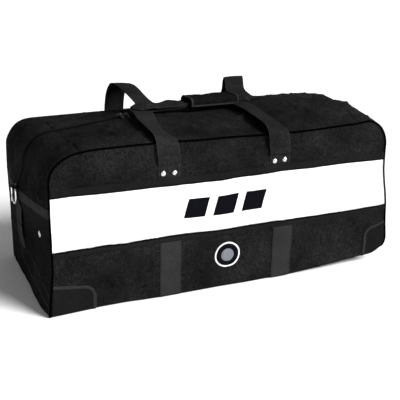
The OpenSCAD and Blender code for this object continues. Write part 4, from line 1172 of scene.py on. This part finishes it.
def puffed(ob, held, pressure, cap):
    """Blender's cloth with air inside: the padding pushes the cover out between its
    seams. Sewn points stay, nothing moves more than cap mm, and the shape is applied."""
    scene = bpy.context.scene
    tmp = bpy.data.objects.new(ob.name + "_sim", ob.data.copy())
    scene.collection.objects.link(tmp)
    vg = tmp.vertex_groups.new(name="sewn")
    vg.add([int(i) for i in held], 1.0, "REPLACE")
    mod = tmp.modifiers.new("cloth", "CLOTH")
    cs = mod.settings
    cs.quality = 7
    cs.mass = 0.15
    cs.tension_stiffness = cs.compression_stiffness = 12.0
    cs.shear_stiffness = 4.0
    cs.bending_stiffness = 0.3
    cs.shrink_min = -0.05
    cs.use_pressure = True
    cs.uniform_pressure_force = pressure
    cs.effector_weights.gravity = 0.0
    cs.vertex_group_mass = "sewn"
    mod.collision_settings.use_collision = False
    mod.point_cache.frame_start, mod.point_cache.frame_end = 1, 24
    for k in range(1, 21):
        scene.frame_set(k)
    ev = tmp.evaluated_get(bpy.context.evaluated_depsgraph_get())
    n = len(ob.data.vertices)
    new, old = np.empty(n * 3), np.empty(n * 3)
    ev.data.vertices.foreach_get("co", new)
    ob.data.vertices.foreach_get("co", old)
    new, old = new.reshape(-1, 3), old.reshape(-1, 3)
    if np.isfinite(new).all():
        d = new - old
        ln = np.linalg.norm(d, axis=1, keepdims=True)
        d *= np.minimum(1.0, cap / 1000.0 / np.maximum(ln, 1e-12))
        ob.data.vertices.foreach_set("co", (old + d).ravel())
        ob.data.update()
    scene.frame_set(1)
    me = tmp.data
    bpy.data.objects.remove(tmp)
    bpy.data.meshes.remove(me)


def wrap(name, pts, thick, body, node, puff, fill_in):
    """Padded cloth with a C-shaped section, quilted by two rows across."""
    sec = spline(np.array([(0, y, z) for y, z in pts]), 2.2)
    tan = np.gradient(sec, axis=0)
    tan /= np.linalg.norm(tan, axis=1, keepdims=True)
    out = np.cross(np.array([1.0, 0, 0]), tan)
    c = np.array([0, 0.0, (GLO + GHI) / 2])
    if np.sum((sec - c) * out) < 0:
        out = -out
    xs = np.concatenate([np.linspace(GX0, GX0 + 6, 5)[:-1], np.linspace(GX0 + 6, GX1 - 6, 40), np.linspace(GX1 - 6, GX1, 5)[1:]])
    n, m = len(xs), len(sec)
    u = (xs - GX0) / (GX1 - GX0)
    t = np.linspace(0, 1, m)
    end = np.sqrt(np.clip(1 - (1 - np.clip(np.minimum(xs - GX0, GX1 - xs) / 5.0, 0, 1)) ** 2, 0, 1))
    edge = np.sqrt(np.clip(1 - (1 - np.clip(np.minimum(t, 1 - t) * m * 2.2 / 4.0, 0, 1)) ** 2, 0, 1))
    quilt = 1 - 0.30 * np.exp(-(((np.minimum(xs - GX0, GX1 - xs) - 9) / 1.6) ** 2))
    hh = np.outer(end * quilt, edge)
    hh *= 1 + 0.05 * np.sin(np.outer(xs / 9.0, np.ones(m)) + 3 * np.outer(np.ones(n), t))
    base = np.stack([np.repeat(xs, m).reshape(n, m), np.tile(sec[:, 1], (n, 1)), np.tile(sec[:, 2], (n, 1))], -1)
    outer = base + out[None] * (0.25 + hh * (thick / 2 + puff))[:, :, None]
    inner = base - out[None] * (0.25 + hh * (thick / 2 + fill_in))[:, :, None]
    verts = np.concatenate([outer.reshape(-1, 3), inner.reshape(-1, 3)])
    k = n * m
    idx = np.arange(k).reshape(n, m)
    q = np.stack([idx[:-1, :-1], idx[1:, :-1], idx[1:, 1:], idx[:-1, 1:]], -1).reshape(-1, 4)
    rim = list(idx[:, 0]) + list(idx[-1, 1:]) + list(idx[:-1, -1][::-1]) + list(idx[0, 1:-1][::-1])
    edgef = [[int(rim[i]), int(rim[(i + 1) % len(rim)]), int(rim[(i + 1) % len(rim)]) + k, int(rim[i]) + k] for i in range(len(rim))]
    faces = q.tolist() + (q[:, ::-1] + k).tolist() + edgef
    arc = t * m * 2.2
    uv = np.stack([np.repeat(xs, m), np.tile(arc, n)], 1)
    ob = new_mesh(name, verts, faces, ["grip"], None, np.concatenate([uv, uv]))
    fix_normals(ob)
    sewn = set(int(v) for v in rim)
    for i in range(n):
        if abs(min(xs[i] - GX0, GX1 - xs[i]) - 9) < 2.0:
            sewn |= set(int(v) for v in idx[i])
    puffed(ob, sorted(sewn) + [v + k for v in sorted(sewn)], 5.0, 1.7)
    ride(ob, body, node, slot="grip_cloth")
    return ob, outer, out


gb, _, _ = wrap("grip_wrap_base", [(-27.5, 426.0), (-10, 425.8), (10, 425.8), (27, 426.2), (31.0, 429.5), (31.0, 437), (30.6, 445.5)], 3.2, "carry_handles", "grip_base", 0.6, -0.3)
gf, gout, gnrm = wrap("grip_wrap_flap", [(28.0, 448.2), (14, 448.4), (-4, 448.4), (-24, 448.0), (-30.2, 444.6), (-31.2, 437), (-30.6, 427.5)], 3.2, "grip_cover", "grip_flap", 0.9, 2.6)
rows = [gout[i, 3:-3] for i in (5, len(gout) - 6)] + [gout[4:-4, j] for j in (3, gout.shape[1] - 4)]
st = stitches("stitch_grip", rows, same, up=(0, 0, 1))
ride(st, "grip_cover", slot="grip_cloth")
# a woven binding along the flap's free edges
nj = gout.shape[1]
gt = np.gradient(gout[20], axis=0)
gt /= np.linalg.norm(gt, axis=1, keepdims=True)
eb = [sweep("b", gout[i, 1:-1], (1, 0, 0), gnrm[1:-1], web_profile(5.0, 1.3) - np.array([0, 0.25]), same, ["bind"]) for i in (4, len(gout) - 5)]
eb.append(sweep("b", gout[4:-4, nj - 3], gt[nj - 3], gnrm[nj - 3], web_profile(4.6, 1.3) - np.array([0, 0.25]), same, ["bind"]))
ride(join("grip_binding", eb), "grip_cover", slot="trim_webbing")

# ----------------------------------------------- plain marks, in no one's style


def print_patch(name, corners, f, mat, o=0.6, n=28, m=20):
    """A flat print on a panel: a four-sided shape given by its corners (x, z)."""
    c = np.asarray(corners, float)
    g = np.zeros((n, m, 3))
    for i in range(n):
        for j in range(m):
            u, v = i / (n - 1), j / (m - 1)
            p = (1 - u) * (1 - v) * c[0] + u * (1 - v) * c[1] + u * v * c[2] + (1 - u) * v * c[3]
            g[i, j] = (p[0], o, p[1])
    return sheet_mesh(name, g, f, [mat], 0.5, out=1)


bars = []
for k, (x0, w) in enumerate(((-116, 56), (-38, 56), (40, 56))):
    bars.append(print_patch(f"bar{k}", [(x0, 197), (x0 + w, 197), (x0 + w + 18, 246), (x0 + 18, 246)], front, "ink"))
ride(join("plain_bars", bars), "shell", slot="stripe_cloth")


def disc(name, x, z, r0, r1, f, mat, o):
    n, m = 48, 6
    g = np.zeros((n + 1, m, 3))
    for i in range(n + 1):
        a = 2 * math.pi * i / n
        for j in range(m):
            rr = r0 + (r1 - r0) * j / (m - 1)
            g[i, j] = (x + rr * math.cos(a), o, z + rr * math.sin(a))
    return sheet_mesh(name, g, f, [mat], 0.5, out=-1)


obs = [disc("d1", 2, 88, 30, 34, front, "ink_white", 0.8), disc("d3", 2, 88, 0.5, 30.5, front, "ink", 0.5)]
ride(join("plain_badge", obs), "shell", slot="canvas")
obs = [disc("d2", 2, 88, 0.5, 17, front, "ink_grey", 0.9)]
ride(join("plain_badge_dot", obs), "shell", slot="canvas")

# ------------------------------------------------------------ floor, light
fl, nt, p = nodes_of("pale_floor")
tc = nt.nodes.new("ShaderNodeTexCoord")
nt.links.new(scaled(nt, (0.92, 0.92, 0.92), spread_to(nt, noise(nt, tc.outputs["Object"], 1.5, 2.0), 0.995, 1.005)), p.inputs["Base Color"])
p.inputs["Roughness"].default_value = 0.95
p.inputs["Specular IOR Level"].default_value = 0.0
M["floor"] = fl
gx = np.linspace(-40000, 40000, 9)
g = np.stack(np.meshgrid(gx, gx, indexing="ij") + [np.zeros((9, 9))], -1)
v = g.reshape(-1, 3)
idx = np.arange(81).reshape(9, 9)
q = np.stack([idx[:-1, :-1], idx[1:, :-1], idx[1:, 1:], idx[:-1, 1:]], -1).reshape(-1, 4)
floor = new_mesh("studio_floor", v, q.tolist(), ["floor"], None, v[:, :2])


def sun(name, direction, strength, angle):
    la = bpy.data.lights.new(name, "SUN")
    la.energy = strength
    la.angle = math.radians(angle)
    ob = bpy.data.objects.new(name, la)
    bpy.context.scene.collection.objects.link(ob)
    ob.rotation_euler = Vector(direction).to_track_quat("-Z", "Y").to_euler()
    return ob


sun("key", (-0.60, 0.76, -0.64), 6.1, 30)
w = bpy.data.worlds.new("studio")
bpy.context.scene.world = w
w.use_nodes = True
w.node_tree.nodes["Background"].inputs[0].default_value = (1, 1, 1, 1)
w.node_tree.nodes["Background"].inputs[1].default_value = 0.25
vs = bpy.context.scene.view_settings
vs.view_transform = "Standard"
vs.look = "None"
vs.exposure = 0.0
vs.gamma = 1.0

# -------------------------------------------------------- camera, as in the photo
cam = bpy.data.cameras.new("photo_camera")
co = bpy.data.objects.new("photo_camera", cam)
bpy.context.scene.collection.objects.link(co)
az, el, dist = math.radians(-23.68), math.radians(17.05), 2.4
aim = Vector((0, 0, 0.18))
co.location = aim + dist * Vector((math.sin(az) * math.cos(el), -math.cos(az) * math.cos(el), math.sin(el)))
co.rotation_euler = (aim - co.location).to_track_quat("-Z", "Y").to_euler()
cam.sensor_width = 36.0
cam.lens = 79.95
cam.shift_x = 0.0125
cam.shift_y = -0.0115
cam.dof.use_dof = False
cam.clip_end = 200.0
bpy.context.scene.camera = co
